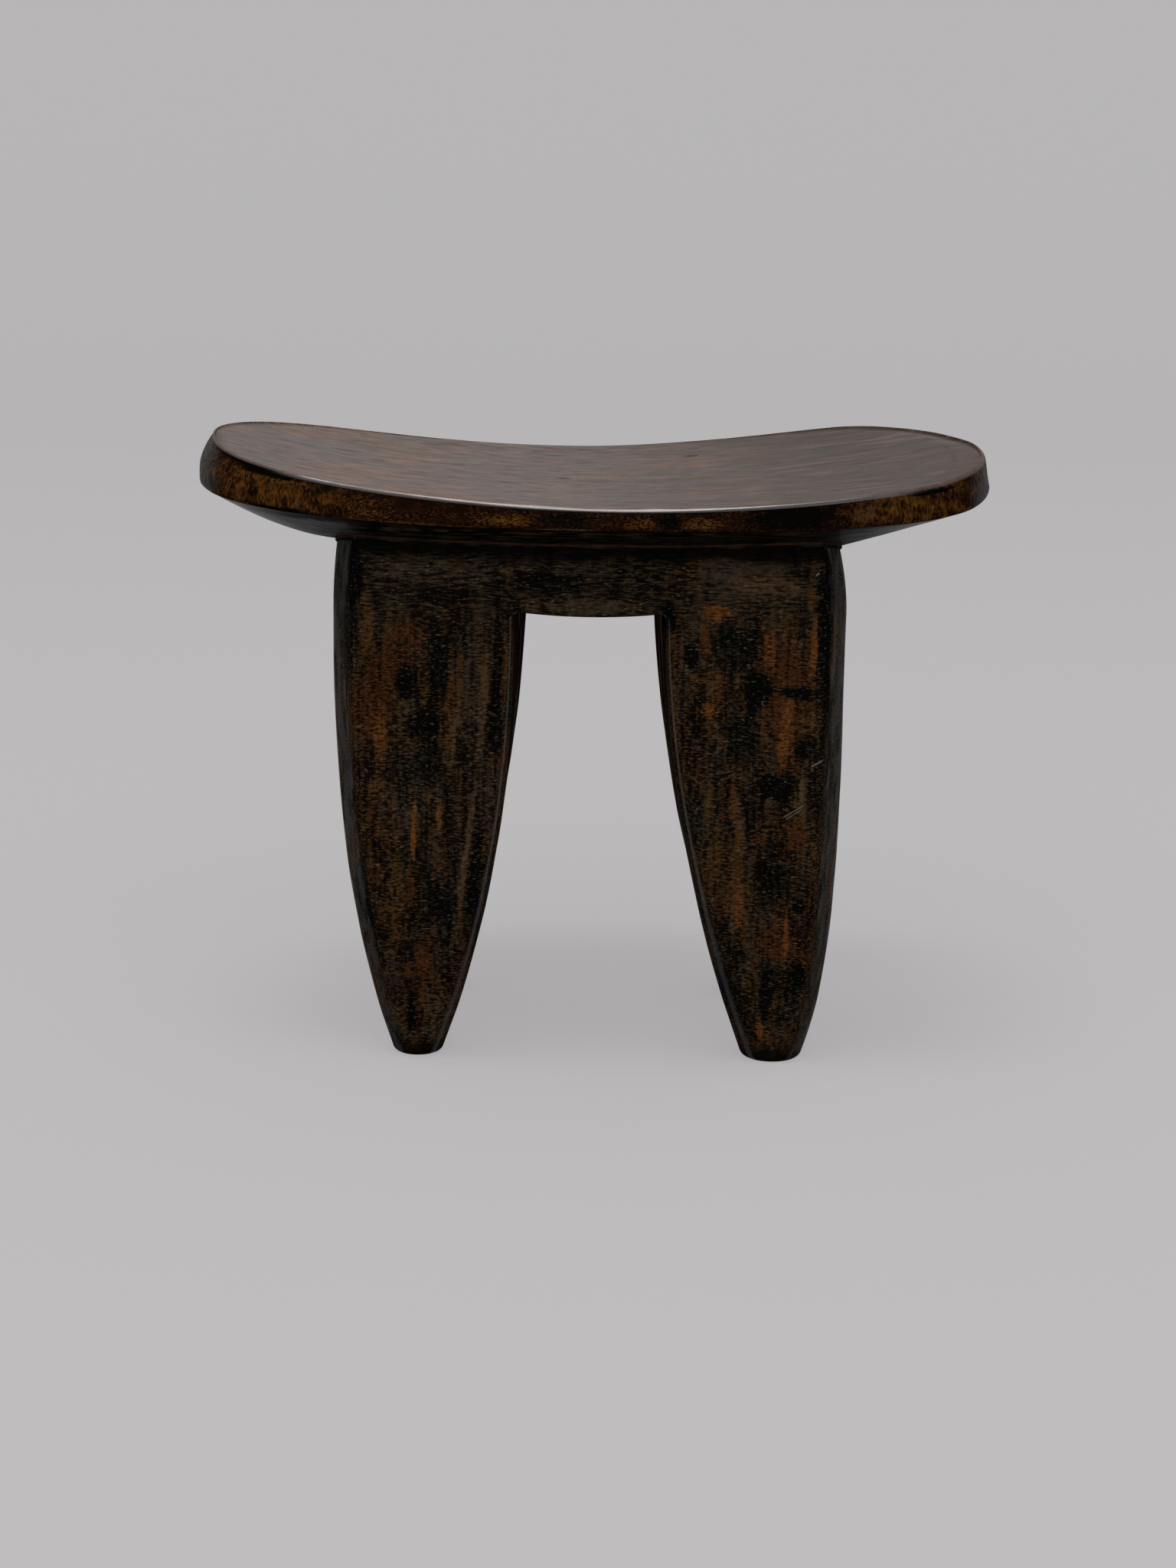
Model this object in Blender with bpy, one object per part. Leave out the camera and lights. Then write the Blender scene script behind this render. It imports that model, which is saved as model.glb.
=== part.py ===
"""A carved wooden stool: a saddle seat over a plain block on four tapering legs.

The real stool is one piece of wood. It is divided here at the lines of its own form, into a
seat, the block under it (the apron) and four legs, which meet face to face.
Units are metres, +Z is up, the front faces -Y and the stool stands on z = 0.
"""
import math

import bmesh
import bpy
from mathutils import Vector

# Heights, from the floor up
LEG_HEIGHT = 0.2797
APRON_HEIGHT = 0.0383
UNDERSIDE_RISE = 0.0143
RIM_HEIGHT = 0.0139

# Seat plan, over the widest line of its rim: fuller corners in front, rounder ones behind
SEAT_LENGTH = 0.4730
SEAT_DEPTH = 0.2840
END_SQUARENESS = 6.20
FRONT_SQUARENESS = 2.84
BACK_SQUARENESS = 1.93
RIGHT_BROADENING = 0.060

# Saddle: the rise of the top from its middle to its ends, and how it gathers there
SADDLE_RISE = 0.0240
SADDLE_CURVE = 1.95
SADDLE_DISH = 0.0030
SEAT_TWIST = 0.0021
BACK_LIFT_RIGHT = 0.0038

# Rim: it leans out on its way down, turns under in a round and lifts towards the ends
RIM_LEAN = 0.30
RIM_END_RISE = 0.0118
RIM_END_CURVE = 2.4
ARRIS_ROUND = 0.0025
UNDER_ROUND = 0.25
UNDER_ROUND_TUCK = 0.60

# Worn slope around the right end of the top: its drop, the arris beyond it, and where along
# the seat it begins and is full
RIGHT_SLOPE = 0.0030
RIGHT_ARRIS_ROUND = 0.0050
RIGHT_SLOPE_FROM = 0.66
RIGHT_SLOPE_TO = 0.96

# Belly of the underside, fuller at the left end
BELLY_LEFT = 0.0042
BELLY_RIGHT = 0.0006

# Ledge where the seat's underside overhangs the apron
LEDGE_OVERHANG = 0.0025
LEDGE_LIP = 0.0020
LEDGE_END_DROP = 0.0120
LEDGE_CORNER_RISE = 0.0050

# Apron block and the openings between the legs
APRON_LENGTH = 0.3006
APRON_DEPTH = 0.2240
APRON_CORNER = 0.0170
CORNER_CUT = 0.0034
APRON_DRAFT = 0.0022
APRON_BOW = 0.0020
BASE_OFFSET = -0.0011
FRONT_OPENING = 0.0830
END_OPENING = 0.0400

# Feet, and how late each face of a leg draws in on its way down
FOOT_REACH_LEFT = 0.1010
FOOT_REACH_RIGHT = 0.1141
FOOT_REACH_DEPTH = 0.0635
FOOT_WIDTH_LEFT = 0.0300
FOOT_WIDTH_RIGHT = 0.0368
FOOT_ROUND = 0.0025
OUTER_CURVE_LEFT = 2.5
OUTER_CURVE_RIGHT = 4.9
INNER_CURVE_LEFT = 2.2
INNER_CURVE_RIGHT = 1.8
FACE_CURVE = 2.6
INNER_CORNER = 0.0045

# How far the legs' inner faces turn from the front opening's sides: wider in front, narrower behind
INNER_FLARE = 0.0024

# Share of the way down a leg over which its outer corner's facet turns round again
FACET_FADE_FROM = 0.60
FACET_FADE_TO = 1.0

# Clear space kept between members that meet
JOIN_GAP = 0.0003

# Fineness of the lofts
HALVINGS = 40
SPOKES_END = 8
SPOKES_CORNER = 6
SPOKES_FRONT = 10
TOP_RINGS = (0.20, 0.40, 0.60, 0.80, 0.935)
UNDERSIDE_RINGS = (0.25, 0.50, 0.75)
JOIN_RINGS = (0.75, 0.45, 0.18)
CORNER_STEPS = 6
LEG_RINGS = 16
BOW_CUTS = 8
CREASE_ANGLE = math.radians(35)

# Finish of each member: colour, roughness
SEAT_FINISH = ((0.075, 0.045, 0.032, 1.0), 0.42)
APRON_FINISH = ((0.030, 0.019, 0.013, 1.0), 0.50)
LEG_FINISH = ((0.038, 0.021, 0.012, 1.0), 0.50)

# Share of a round edge's radius that is left between its middle and its two faces
EASED = 1 - math.sqrt(0.5)
# Largest corner radius of a leg's section, as a share of its narrower width
CORNER_LIMIT = 0.49

LEDGE_Z = LEG_HEIGHT + APRON_HEIGHT
RIM_Z = LEDGE_Z + UNDERSIDE_RISE
SADDLE_Z = RIM_Z + RIM_HEIGHT


def clear_scene():
    """Remove every object, so that the stool stands alone."""
    for old in list(bpy.data.objects):
        bpy.data.objects.remove(old, do_unlink=True)


def wood_material(name, finish):
    """Return a Principled material for one member."""
    colour, roughness = finish
    material = bpy.data.materials.new(name)
    material.use_nodes = True
    shader = material.node_tree.nodes["Principled BSDF"]
    shader.inputs["Base Color"].default_value = colour
    shader.inputs["Roughness"].default_value = roughness
    shader.inputs["Metallic"].default_value = 0.0
    return material


def ease(value, start, stop):
    """Return a smooth rise from 0 at start to 1 at stop."""
    share = min(1.0, max(0.0, (value - start) / (stop - start)))
    return share * share * (3 - 2 * share)


def spread(start, stop, steps):
    """Return evenly spaced values from start up to, but without, stop."""
    return [start + (stop - start) * step / steps for step in range(steps)]


def spoke_angles():
    """Return the directions in which seat and apron are lofted, closest at the apron's corners."""
    half_length = APRON_LENGTH / 2
    half_depth = APRON_DEPTH / 2
    first = math.atan2(half_depth - APRON_CORNER, half_length)
    last = math.atan2(half_depth, half_length - APRON_CORNER)
    quarter = spread(0, first, SPOKES_END)
    quarter += spread(first, last, SPOKES_CORNER)
    quarter += spread(last, math.pi / 2, SPOKES_FRONT)
    half = quarter + [math.pi - angle for angle in [math.pi / 2] + quarter[:0:-1]]
    return half + [math.pi + angle for angle in half]


def rim_radius(angle):
    """Return the distance from the seat's centre to its rim in one direction, by halving."""
    along = math.cos(angle)
    across = math.sin(angle)
    side_squareness = BACK_SQUARENESS if across > 0 else FRONT_SQUARENESS
    near = 0.0
    far = math.hypot(SEAT_LENGTH, SEAT_DEPTH)
    for _ in range(HALVINGS):
        middle = (near + far) / 2
        end_share = middle * along / (SEAT_LENGTH / 2)
        side_share = middle * across / (SEAT_DEPTH / 2 * (1 + RIGHT_BROADENING * end_share))
        if abs(end_share) ** END_SQUARENESS + abs(side_share) ** side_squareness > 1:
            far = middle
        else:
            near = middle
    return near


def block_radius(angle, half_length, half_depth, corner):
    """Return the distance from a round-cornered block's centre to its side in one direction."""
    along = abs(math.cos(angle))
    across = abs(math.sin(angle))
    core_length = half_length - corner
    core_depth = half_depth - corner
    if half_length * across <= core_depth * along:
        return half_length / along
    if half_depth * along <= core_length * across:
        return half_depth / across
    reach = along * core_length + across * core_depth
    return reach + math.sqrt(reach ** 2 - core_length ** 2 - core_depth ** 2 + corner ** 2)


def saddle_height(x, y, inward):
    """Return the height of the seat's top; inward is 0 at the centre and 1 at the rim."""
    end_share = x / (SEAT_LENGTH / 2)
    side_share = y / (SEAT_DEPTH / 2)
    height = SADDLE_Z + SADDLE_RISE * abs(end_share) ** SADDLE_CURVE
    height += BACK_LIFT_RIGHT * max(0.0, end_share) * (1 - end_share ** 4) * max(0.0, side_share)
    return height + SEAT_TWIST * end_share * side_share - SADDLE_DISH * (1 - inward ** 2)


def ledge_height(x, y):
    """Return the height at which seat and apron meet, given from the apron's centre."""
    end_share = (x / (APRON_LENGTH / 2)) ** 2
    side_share = (y / (APRON_DEPTH / 2)) ** 2
    front_gain = LEDGE_END_DROP + LEDGE_CORNER_RISE * end_share
    return LEDGE_Z - LEDGE_END_DROP + front_gain * side_share


def rim_profile(angle):
    """Return the rim's section in one direction, from its top arris to its lower arris."""
    outer = rim_radius(angle)
    along = math.cos(angle)
    across = math.sin(angle)
    end_share = outer * along / (SEAT_LENGTH / 2)
    top = saddle_height(outer * along, outer * across, 1)
    bottom = RIM_Z + RIM_END_RISE * abs(end_share) ** RIM_END_CURVE
    height = top - bottom
    turn = UNDER_ROUND * height
    tuck = UNDER_ROUND_TUCK * turn
    lean = RIM_LEAN * (height - turn)
    right_end = ease(end_share, RIGHT_SLOPE_FROM, RIGHT_SLOPE_TO)
    arris = ARRIS_ROUND + (RIGHT_ARRIS_ROUND - ARRIS_ROUND) * right_end
    arris = min(arris, (height - turn) / 2)
    top -= RIGHT_SLOPE * right_end
    return [
        (outer - lean - arris, top),
        (outer - lean - arris * EASED, top - arris * EASED),
        (outer - lean, top - arris),
        (outer - lean / 2, (top - arris + bottom + turn) / 2),
        (outer, bottom + turn),
        (outer - tuck * EASED, bottom + turn * EASED),
        (outer - tuck, bottom),
    ]


def apron_point(angle, grow, share):
    """Return a plan point from the apron's centre, at a share of the way to its grown side."""
    half_length = APRON_LENGTH / 2 - APRON_DRAFT + grow
    half_depth = APRON_DEPTH / 2 - APRON_DRAFT + grow
    radius = share * block_radius(angle, half_length, half_depth, APRON_CORNER)
    return radius * math.cos(angle), radius * math.sin(angle)


def corner_inset(across, along):
    """Return how far a round corner is cut back to a facet, where its outward direction is given."""
    return CORNER_CUT * (2 * across * along) ** 2


def apron_edge(angle, grow):
    """Return a point of the apron's own side, whose corners are cut back to facets."""
    x, y = apron_point(angle, grow, 1)
    core_x = APRON_LENGTH / 2 - APRON_DRAFT + grow - APRON_CORNER
    core_y = APRON_DEPTH / 2 - APRON_DRAFT + grow - APRON_CORNER
    out_x = max(0.0, abs(x) - core_x) / APRON_CORNER
    out_y = max(0.0, abs(y) - core_y) / APRON_CORNER
    inset = corner_inset(out_x, out_y)
    return x - math.copysign(out_x * inset, x), y - math.copysign(out_y * inset, y)


def join_ring(angles, share, lift):
    """Return one ring of the face where seat and apron meet, given from the apron's centre."""
    ring = []
    for angle in angles:
        x, y = apron_point(angle, 0, share)
        ring.append(Vector((x, y, ledge_height(x, y) + lift)))
    return ring


def loft(rings, first_tip, last_tip):
    """Return a closed bmesh through the rings, each end closed by a tip or, without one, flat."""
    shell = bmesh.new()
    loops = [[shell.verts.new(point) for point in ring] for ring in rings]
    for before, after in zip(loops, loops[1:]):
        for here in range(len(before)):
            shell.faces.new((before[here - 1], before[here], after[here]))
            shell.faces.new((before[here - 1], after[here], after[here - 1]))
    for loop, tip in ((loops[0], first_tip), (loops[-1], last_tip)):
        if tip is None:
            shell.faces.new(loop)
            continue
        point = shell.verts.new(tip)
        for here in range(len(loop)):
            shell.faces.new((loop[here - 1], loop[here], point))
    bmesh.ops.recalc_face_normals(shell, faces=shell.faces)
    return shell


def add_member(name, shell, place, finish, parent):
    """Make an object of a lofted shell whose points are given from place."""
    mesh = bpy.data.meshes.new(name)
    shell.to_mesh(mesh)
    shell.free()
    mesh.shade_smooth()
    mesh.set_sharp_from_angle(angle=CREASE_ANGLE)
    mesh.materials.append(wood_material(name + "_wood", finish))
    member = bpy.data.objects.new(name, mesh)
    member.location = place
    member.parent = parent
    bpy.context.scene.collection.objects.link(member)
    return member


def build_seat(angles, parent):
    """Loft the saddle top, the rim, the sloping underside and the ledge."""
    base = Vector((BASE_OFFSET, 0, 0))
    profiles = [rim_profile(angle) for angle in angles]
    rings = []
    for inward in TOP_RINGS:
        ring = []
        for angle, profile in zip(angles, profiles):
            radius = inward * profile[0][0]
            x = radius * math.cos(angle)
            y = radius * math.sin(angle)
            ring.append(Vector((x, y, saddle_height(x, y, inward))))
        rings.append(ring)
    for level in range(len(profiles[0])):
        ring = []
        for angle, profile in zip(angles, profiles):
            radius, height = profile[level]
            ring.append(Vector((radius * math.cos(angle), radius * math.sin(angle), height)))
        rings.append(ring)
    lower_rim = rings[-1]
    ledge = []
    for angle in angles:
        x, y = apron_point(angle, LEDGE_OVERHANG, 1)
        ledge.append(base + Vector((x, y, ledge_height(x, y) + LEDGE_LIP)))
    for share in UNDERSIDE_RINGS:
        ring = []
        for angle, rim, edge in zip(angles, lower_rim, ledge):
            belly = BELLY_LEFT if math.cos(angle) < 0 else BELLY_RIGHT
            sag = 4 * share * (1 - share) * belly * abs(math.cos(angle))
            ring.append(rim.lerp(edge, share) - Vector((0, 0, sag)))
        rings.append(ring)
    rings.append(ledge)
    lip_height = Vector((0, 0, LEDGE_LIP - JOIN_GAP))
    rings.append([edge - lip_height for edge in ledge])
    for share in (1.0,) + JOIN_RINGS:
        rings.append([base + point for point in join_ring(angles, share, JOIN_GAP)])
    place = Vector((0, 0, RIM_Z))
    rings = [[point - place for point in ring] for ring in rings]
    top_tip = Vector((0, 0, saddle_height(0, 0, 0))) - place
    low_tip = base + Vector((0, 0, ledge_height(0, 0) + JOIN_GAP)) - place
    add_member("seat", loft(rings, top_tip, low_tip), place, SEAT_FINISH, parent)


def soffit_parts(shell, level):
    """Return the faces that lie at one level, with their edges and corners."""
    faces = [face for face in shell.faces if face.calc_center_median().z < level + JOIN_GAP]
    edges = {edge for face in faces for edge in face.edges}
    corners = {vert for face in faces for vert in face.verts}
    return faces + list(edges) + list(corners)


def bow_soffit(shell):
    """Let the apron's lower face sag between the left and right legs."""
    level = min(vert.co.z for vert in shell.verts)
    reach = FRONT_OPENING / 2 - INNER_FLARE - 2 * JOIN_GAP
    for cut in range(BOW_CUTS + 1):
        place = (reach * (2 * cut / BOW_CUTS - 1), 0, level)
        parts = soffit_parts(shell, level)
        bmesh.ops.bisect_plane(shell, geom=parts, plane_co=place, plane_no=(1, 0, 0))
    for vert in shell.verts:
        if vert.co.z < level + JOIN_GAP and abs(vert.co.x) < reach:
            vert.co.z -= APRON_BOW * (1 - (vert.co.x / reach) ** 2)


def build_apron(angles, parent):
    """Loft the block from the leg tops up to the face under the seat."""
    lower_edge = []
    for angle in angles:
        x, y = apron_edge(angle, APRON_DRAFT)
        lower_edge.append(Vector((x, y, LEG_HEIGHT + JOIN_GAP)))
    upper_edge = []
    for angle in angles:
        x, y = apron_edge(angle, 0)
        upper_edge.append(Vector((x, y, ledge_height(x, y))))
    rings = [lower_edge]
    rings.append([(lower + upper) / 2 for lower, upper in zip(lower_edge, upper_edge)])
    rings.append(upper_edge)
    rings += [join_ring(angles, share, 0) for share in JOIN_RINGS]
    place = Vector((BASE_OFFSET, 0, LEG_HEIGHT))
    drop = Vector((0, 0, LEG_HEIGHT))
    rings = [[point - drop for point in ring] for ring in rings]
    top_tip = Vector((0, 0, ledge_height(0, 0))) - drop
    shell = loft(rings, None, top_tip)
    bow_soffit(shell)
    add_member("apron", shell, place, APRON_FINISH, parent)


def leg_section(low, high, corners, cut):
    """Return a closed section between two plan corners, by its corner radii and the outer one's cut."""
    limit = CORNER_LIMIT * min(high[0] - low[0], high[1] - low[1])
    section = []
    signs = ((1, 1), (-1, 1), (-1, -1), (1, -1))
    for turn, ((side, front), corner) in enumerate(zip(signs, corners)):
        radius = min(corner, limit)
        centre_x = high[0] - radius if side > 0 else low[0] + radius
        centre_y = high[1] - radius if front > 0 else low[1] + radius
        for step in range(CORNER_STEPS + 1):
            angle = math.pi / 2 * (turn + step / CORNER_STEPS)
            along = math.cos(angle)
            across = math.sin(angle)
            reach = radius - (cut * corner_inset(across, along) if turn == 0 else 0.0)
            section.append((centre_x + reach * along, centre_y + reach * across))
    return section


def leg_rings(reach, width, outer_curve, inner_curve, front):
    """Return a leg's sections from its top to its sole, measured out from the base's centre."""
    half_length = APRON_LENGTH / 2
    half_depth = APRON_DEPTH / 2
    foot_radius = width / 2
    levels = [(step / LEG_RINGS, 0.0) for step in range(LEG_RINGS)]
    levels = [(drop, inset) for drop, inset in levels if (1 - drop) * LEG_HEIGHT > 2 * FOOT_ROUND]
    levels.append((1 - FOOT_ROUND / LEG_HEIGHT, 0.0))
    levels.append((1 - EASED * FOOT_ROUND / LEG_HEIGHT, EASED * FOOT_ROUND))
    levels.append((1.0, FOOT_ROUND))
    rings = []
    for drop, inset in levels:
        draw_out = drop ** outer_curve
        draw_in = drop ** inner_curve
        draw_face = drop ** FACE_CURVE
        high_x = half_length + (reach + foot_radius - half_length) * draw_out - inset
        low_x = FRONT_OPENING / 2 + (reach - foot_radius - FRONT_OPENING / 2) * draw_in + inset
        high_y = half_depth + (FOOT_REACH_DEPTH + foot_radius - half_depth) * draw_face - inset
        low_y = END_OPENING / 2 + (FOOT_REACH_DEPTH - foot_radius - END_OPENING / 2) * draw_in + inset
        outer_corner = APRON_CORNER + (foot_radius - APRON_CORNER) * drop
        inner_corner = INNER_CORNER + (foot_radius - INNER_CORNER) * drop
        corners = (outer_corner, inner_corner, inner_corner, inner_corner)
        cut = 1 - ease(drop, FACET_FADE_FROM, FACET_FADE_TO)
        ring = []
        for x, y in leg_section((low_x, low_y), (high_x, high_y), corners, cut):
            flare = -front * INNER_FLARE * y / half_depth * (1 - drop) ** 2
            inner_share = (high_x - x) / (high_x - low_x)
            ring.append(Vector((x + flare * inner_share, y, LEG_HEIGHT * (1 - drop))))
        rings.append(ring)
    return rings


def build_legs(parent):
    """Loft the four legs, alike in front and behind but for the turn of their inner faces."""
    sides = (
        ("left", -1, FOOT_REACH_LEFT, FOOT_WIDTH_LEFT, OUTER_CURVE_LEFT, INNER_CURVE_LEFT),
        ("right", 1, FOOT_REACH_RIGHT, FOOT_WIDTH_RIGHT, OUTER_CURVE_RIGHT, INNER_CURVE_RIGHT),
    )
    for side_name, side, reach, width, outer_curve, inner_curve in sides:
        for front_name, front in (("front", -1), ("rear", 1)):
            rings = leg_rings(reach, width, outer_curve, inner_curve, front)
            turned = [[Vector((side * p.x, front * p.y, p.z)) for p in ring] for ring in rings]
            foot = Vector((side * reach, front * FOOT_REACH_DEPTH, 0))
            turned = [[point - foot for point in ring] for ring in turned]
            place = foot + Vector((BASE_OFFSET, 0, 0))
            name = "leg_" + front_name + "_" + side_name
            add_member(name, loft(turned, None, None), place, LEG_FINISH, parent)


def build_stool():
    """Build the whole stool around one empty at its middle on the floor."""
    clear_scene()
    stool = bpy.data.objects.new("stool", None)
    bpy.context.scene.collection.objects.link(stool)
    angles = spoke_angles()
    build_seat(angles, stool)
    build_apron(angles, stool)
    build_legs(stool)


build_stool()
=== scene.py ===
"""The looks of a carved wooden stool: saddle seat, plain block under it and four tapering legs.

The stool is cut from one piece of dark-stained wood whose grain runs along X. Its members are
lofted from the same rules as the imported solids, then carved and dressed.
Units are metres, +Z is up and the front faces -Y.
"""

import logging
import math
from dataclasses import asdict, dataclass, field, fields
from enum import Enum
from typing import Any, Callable, Sequence, Union

import bmesh
import bpy
from mathutils import Matrix, Vector


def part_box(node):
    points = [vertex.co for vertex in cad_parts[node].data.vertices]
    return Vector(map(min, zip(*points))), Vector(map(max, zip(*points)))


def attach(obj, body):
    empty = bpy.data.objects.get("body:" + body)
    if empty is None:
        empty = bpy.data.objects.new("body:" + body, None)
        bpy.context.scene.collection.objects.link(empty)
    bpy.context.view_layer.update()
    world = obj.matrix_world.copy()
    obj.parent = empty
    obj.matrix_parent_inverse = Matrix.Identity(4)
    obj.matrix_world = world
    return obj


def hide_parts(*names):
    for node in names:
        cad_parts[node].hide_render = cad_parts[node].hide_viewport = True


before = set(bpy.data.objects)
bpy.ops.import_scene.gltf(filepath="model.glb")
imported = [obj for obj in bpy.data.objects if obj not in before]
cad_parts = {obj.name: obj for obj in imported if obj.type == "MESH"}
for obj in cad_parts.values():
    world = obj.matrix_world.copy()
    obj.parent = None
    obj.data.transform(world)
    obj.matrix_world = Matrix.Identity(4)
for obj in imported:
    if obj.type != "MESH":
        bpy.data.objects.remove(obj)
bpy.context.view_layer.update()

LOG = logging.getLogger("stool")
ROOT_BODY = "root"

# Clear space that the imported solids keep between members, closed in the carved ones
JOIN_GAP = 0.0003
# Edges that turn more than this between two faces are shown as creases
CREASE_ANGLE = math.radians(38)
# Noise, and the patches drawn from it, lie around this value
NOISE_MIDDLE = 0.5
QUARTER_TURN = math.pi / 2

Number = Union["Wire", float, int]
Triple = tuple[float, float, float]
Span = tuple[float, float]


class Side(Enum):
    """Which end of the stool a leg stands at."""

    LEFT = -1
    RIGHT = 1


class Row(Enum):
    """Whether a leg stands in front or behind."""

    FRONT = -1
    REAR = 1


class Band(float, Enum):
    """Where the parts of the seat's skin begin, counted from 0 in the middle of its top."""

    ARRIS = 1.0
    RIM = 1.2
    ROUND = 1.7
    UNDERSIDE = 2.0
    LIP = 3.0
    JOIN = 5.0


class Rise(float, Enum):
    """Where the parts of the block's skin lie, from its lower face up to the face under the seat."""

    SOFFIT = -1.0
    FOOT = 0.0
    JOIN = 2.0


class Slot(Enum):
    """Names for material slots, which this script gives to no piece."""

    SEAT = "seat_wood"
    APRON = "apron_wood"
    LEG = "leg_wood"


@dataclass(frozen=True)
class Wire:
    """One output of a node, whose arithmetic adds Math nodes to the same tree."""

    bench: "NodeBench"
    socket: Any

    def __add__(self, other: Number) -> "Wire":
        """Add a value."""
        return self.bench.math("ADD", self, other)

    __radd__ = __add__

    def __sub__(self, other: Number) -> "Wire":
        """Take a value away."""
        return self.bench.math("SUBTRACT", self, other)

    def __rsub__(self, other: Number) -> "Wire":
        """Take this away from a value."""
        return self.bench.math("SUBTRACT", other, self)

    def __mul__(self, other: Number) -> "Wire":
        """Multiply by a value."""
        return self.bench.math("MULTIPLY", self, other)

    __rmul__ = __mul__

    def __truediv__(self, other: Number) -> "Wire":
        """Divide by a value."""
        return self.bench.math("DIVIDE", self, other)

    def __rtruediv__(self, other: Number) -> "Wire":
        """Divide a value by this."""
        return self.bench.math("DIVIDE", other, self)

    def __pow__(self, other: Number) -> "Wire":
        """Raise to a power."""
        return self.bench.math("POWER", self, other)

    def __gt__(self, other: Number) -> "Wire":
        """Give 1 where this is greater, else 0."""
        return self.bench.math("GREATER_THAN", self, other)

    def __abs__(self) -> "Wire":
        """Drop the sign."""
        return self.bench.math("ABSOLUTE", self)

    def call(self, operation: str, *others: Number) -> "Wire":
        """Apply a Math node's operation by name."""
        return self.bench.math(operation, self, *others)

    def hypot(self, other: "Wire") -> "Wire":
        """Return the long side over this and another side at a right angle."""
        return (self * self + other * other).call("SQRT")

    def ramp(self, start: float, stop: float) -> "Wire":
        """Rise smoothly from 0 at start to 1 at stop, or fall where stop is the smaller."""
        values = {"Value": self, "From Min": start, "From Max": stop}
        return self.bench.wire("ShaderNodeMapRange", {"interpolation_type": "SMOOTHSTEP"}, values)

    def share(self, start: float, stop: float) -> "Wire":
        """Rise evenly from 0 at start to 1 at stop."""
        values = {"Value": self, "From Min": start, "From Max": stop}
        return self.bench.wire("ShaderNodeMapRange", {}, values)


class NodeBench:
    """Lays out one node tree, for a shader or for geometry."""

    # Places of the Mix node's colour sockets
    MIX_UNDER = 6
    MIX_OVER = 7
    MIX_RESULT = 2

    def __init__(self, tree: bpy.types.NodeTree) -> None:
        """Take the tree to fill."""
        self.tree = tree

    def node(self, kind: str, settings: dict[str, Any] | None = None,
             sockets: dict[str | int, Any] | None = None) -> bpy.types.Node:
        """Add a node.

        Args:
            kind: The node's type name.
            settings: Properties of the node, set before its sockets.
            sockets: Values or wires by the socket's name or place.

        Returns:
            The new node.
        """
        made = self.tree.nodes.new(kind)
        for name, value in (settings or {}).items():
            setattr(made, name, value)
        for key, value in (sockets or {}).items():
            if isinstance(value, Wire):
                self.tree.links.new(value.socket, made.inputs[key])
            else:
                made.inputs[key].default_value = value
        return made

    def wire(self, kind: str, settings: dict[str, Any] | None = None,
             sockets: dict[str | int, Any] | None = None, output: str | int = 0) -> Wire:
        """Add a node in the same way and return one of its outputs, by name or place."""
        return Wire(self, self.node(kind, settings, sockets).outputs[output])

    def math(self, operation: str, *values: Number) -> Wire:
        """Add a Math node with its operands in order."""
        return self.wire("ShaderNodeMath", {"operation": operation}, dict(enumerate(values)))

    def vector_math(self, operation: str, *values: Any) -> Wire:
        """Add a Vector Math node with its operands in order."""
        return self.wire("ShaderNodeVectorMath", {"operation": operation}, dict(enumerate(values)))

    def scaled(self, vector: Wire, factor: Number) -> Wire:
        """Scale a vector by one number."""
        return self.wire("ShaderNodeVectorMath", {"operation": "SCALE"}, {0: vector, "Scale": factor})

    def split(self, vector: Wire) -> tuple[Wire, Wire, Wire]:
        """Return a vector's three components."""
        parts = self.node("ShaderNodeSeparateXYZ", {}, {0: vector}).outputs
        return Wire(self, parts[0]), Wire(self, parts[1]), Wire(self, parts[2])

    def joined(self, x: Number, y: Number, z: Number) -> Wire:
        """Return a vector of three components."""
        return self.wire("ShaderNodeCombineXYZ", {}, {0: x, 1: y, 2: z})

    def mixed(self, share: Number, first: "Tint | Wire", second: "Tint | Wire") -> Wire:
        """Lay a share of the second colour over the first.

        Args:
            share: How much of the second shows.
            first: The colour underneath.
            second: The colour laid over it.

        Returns:
            The mixed colour.
        """
        under, over = (colour.rgba if isinstance(colour, Tint) else colour for colour in (first, second))
        sockets = {0: share, self.MIX_UNDER: under, self.MIX_OVER: over}
        return self.wire("ShaderNodeMix", {"data_type": "RGBA"}, sockets, self.MIX_RESULT)

    def noise(self, place: Wire, scale: Number, detail: float, seed: Number) -> Wire:
        """Return a noise read at a place, by cells per unit, finer octaves and a seed that picks it."""
        sockets = {"Vector": place, "W": seed, "Scale": scale, "Detail": detail}
        return self.wire("ShaderNodeTexNoise", {"noise_dimensions": "4D"}, sockets)


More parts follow.
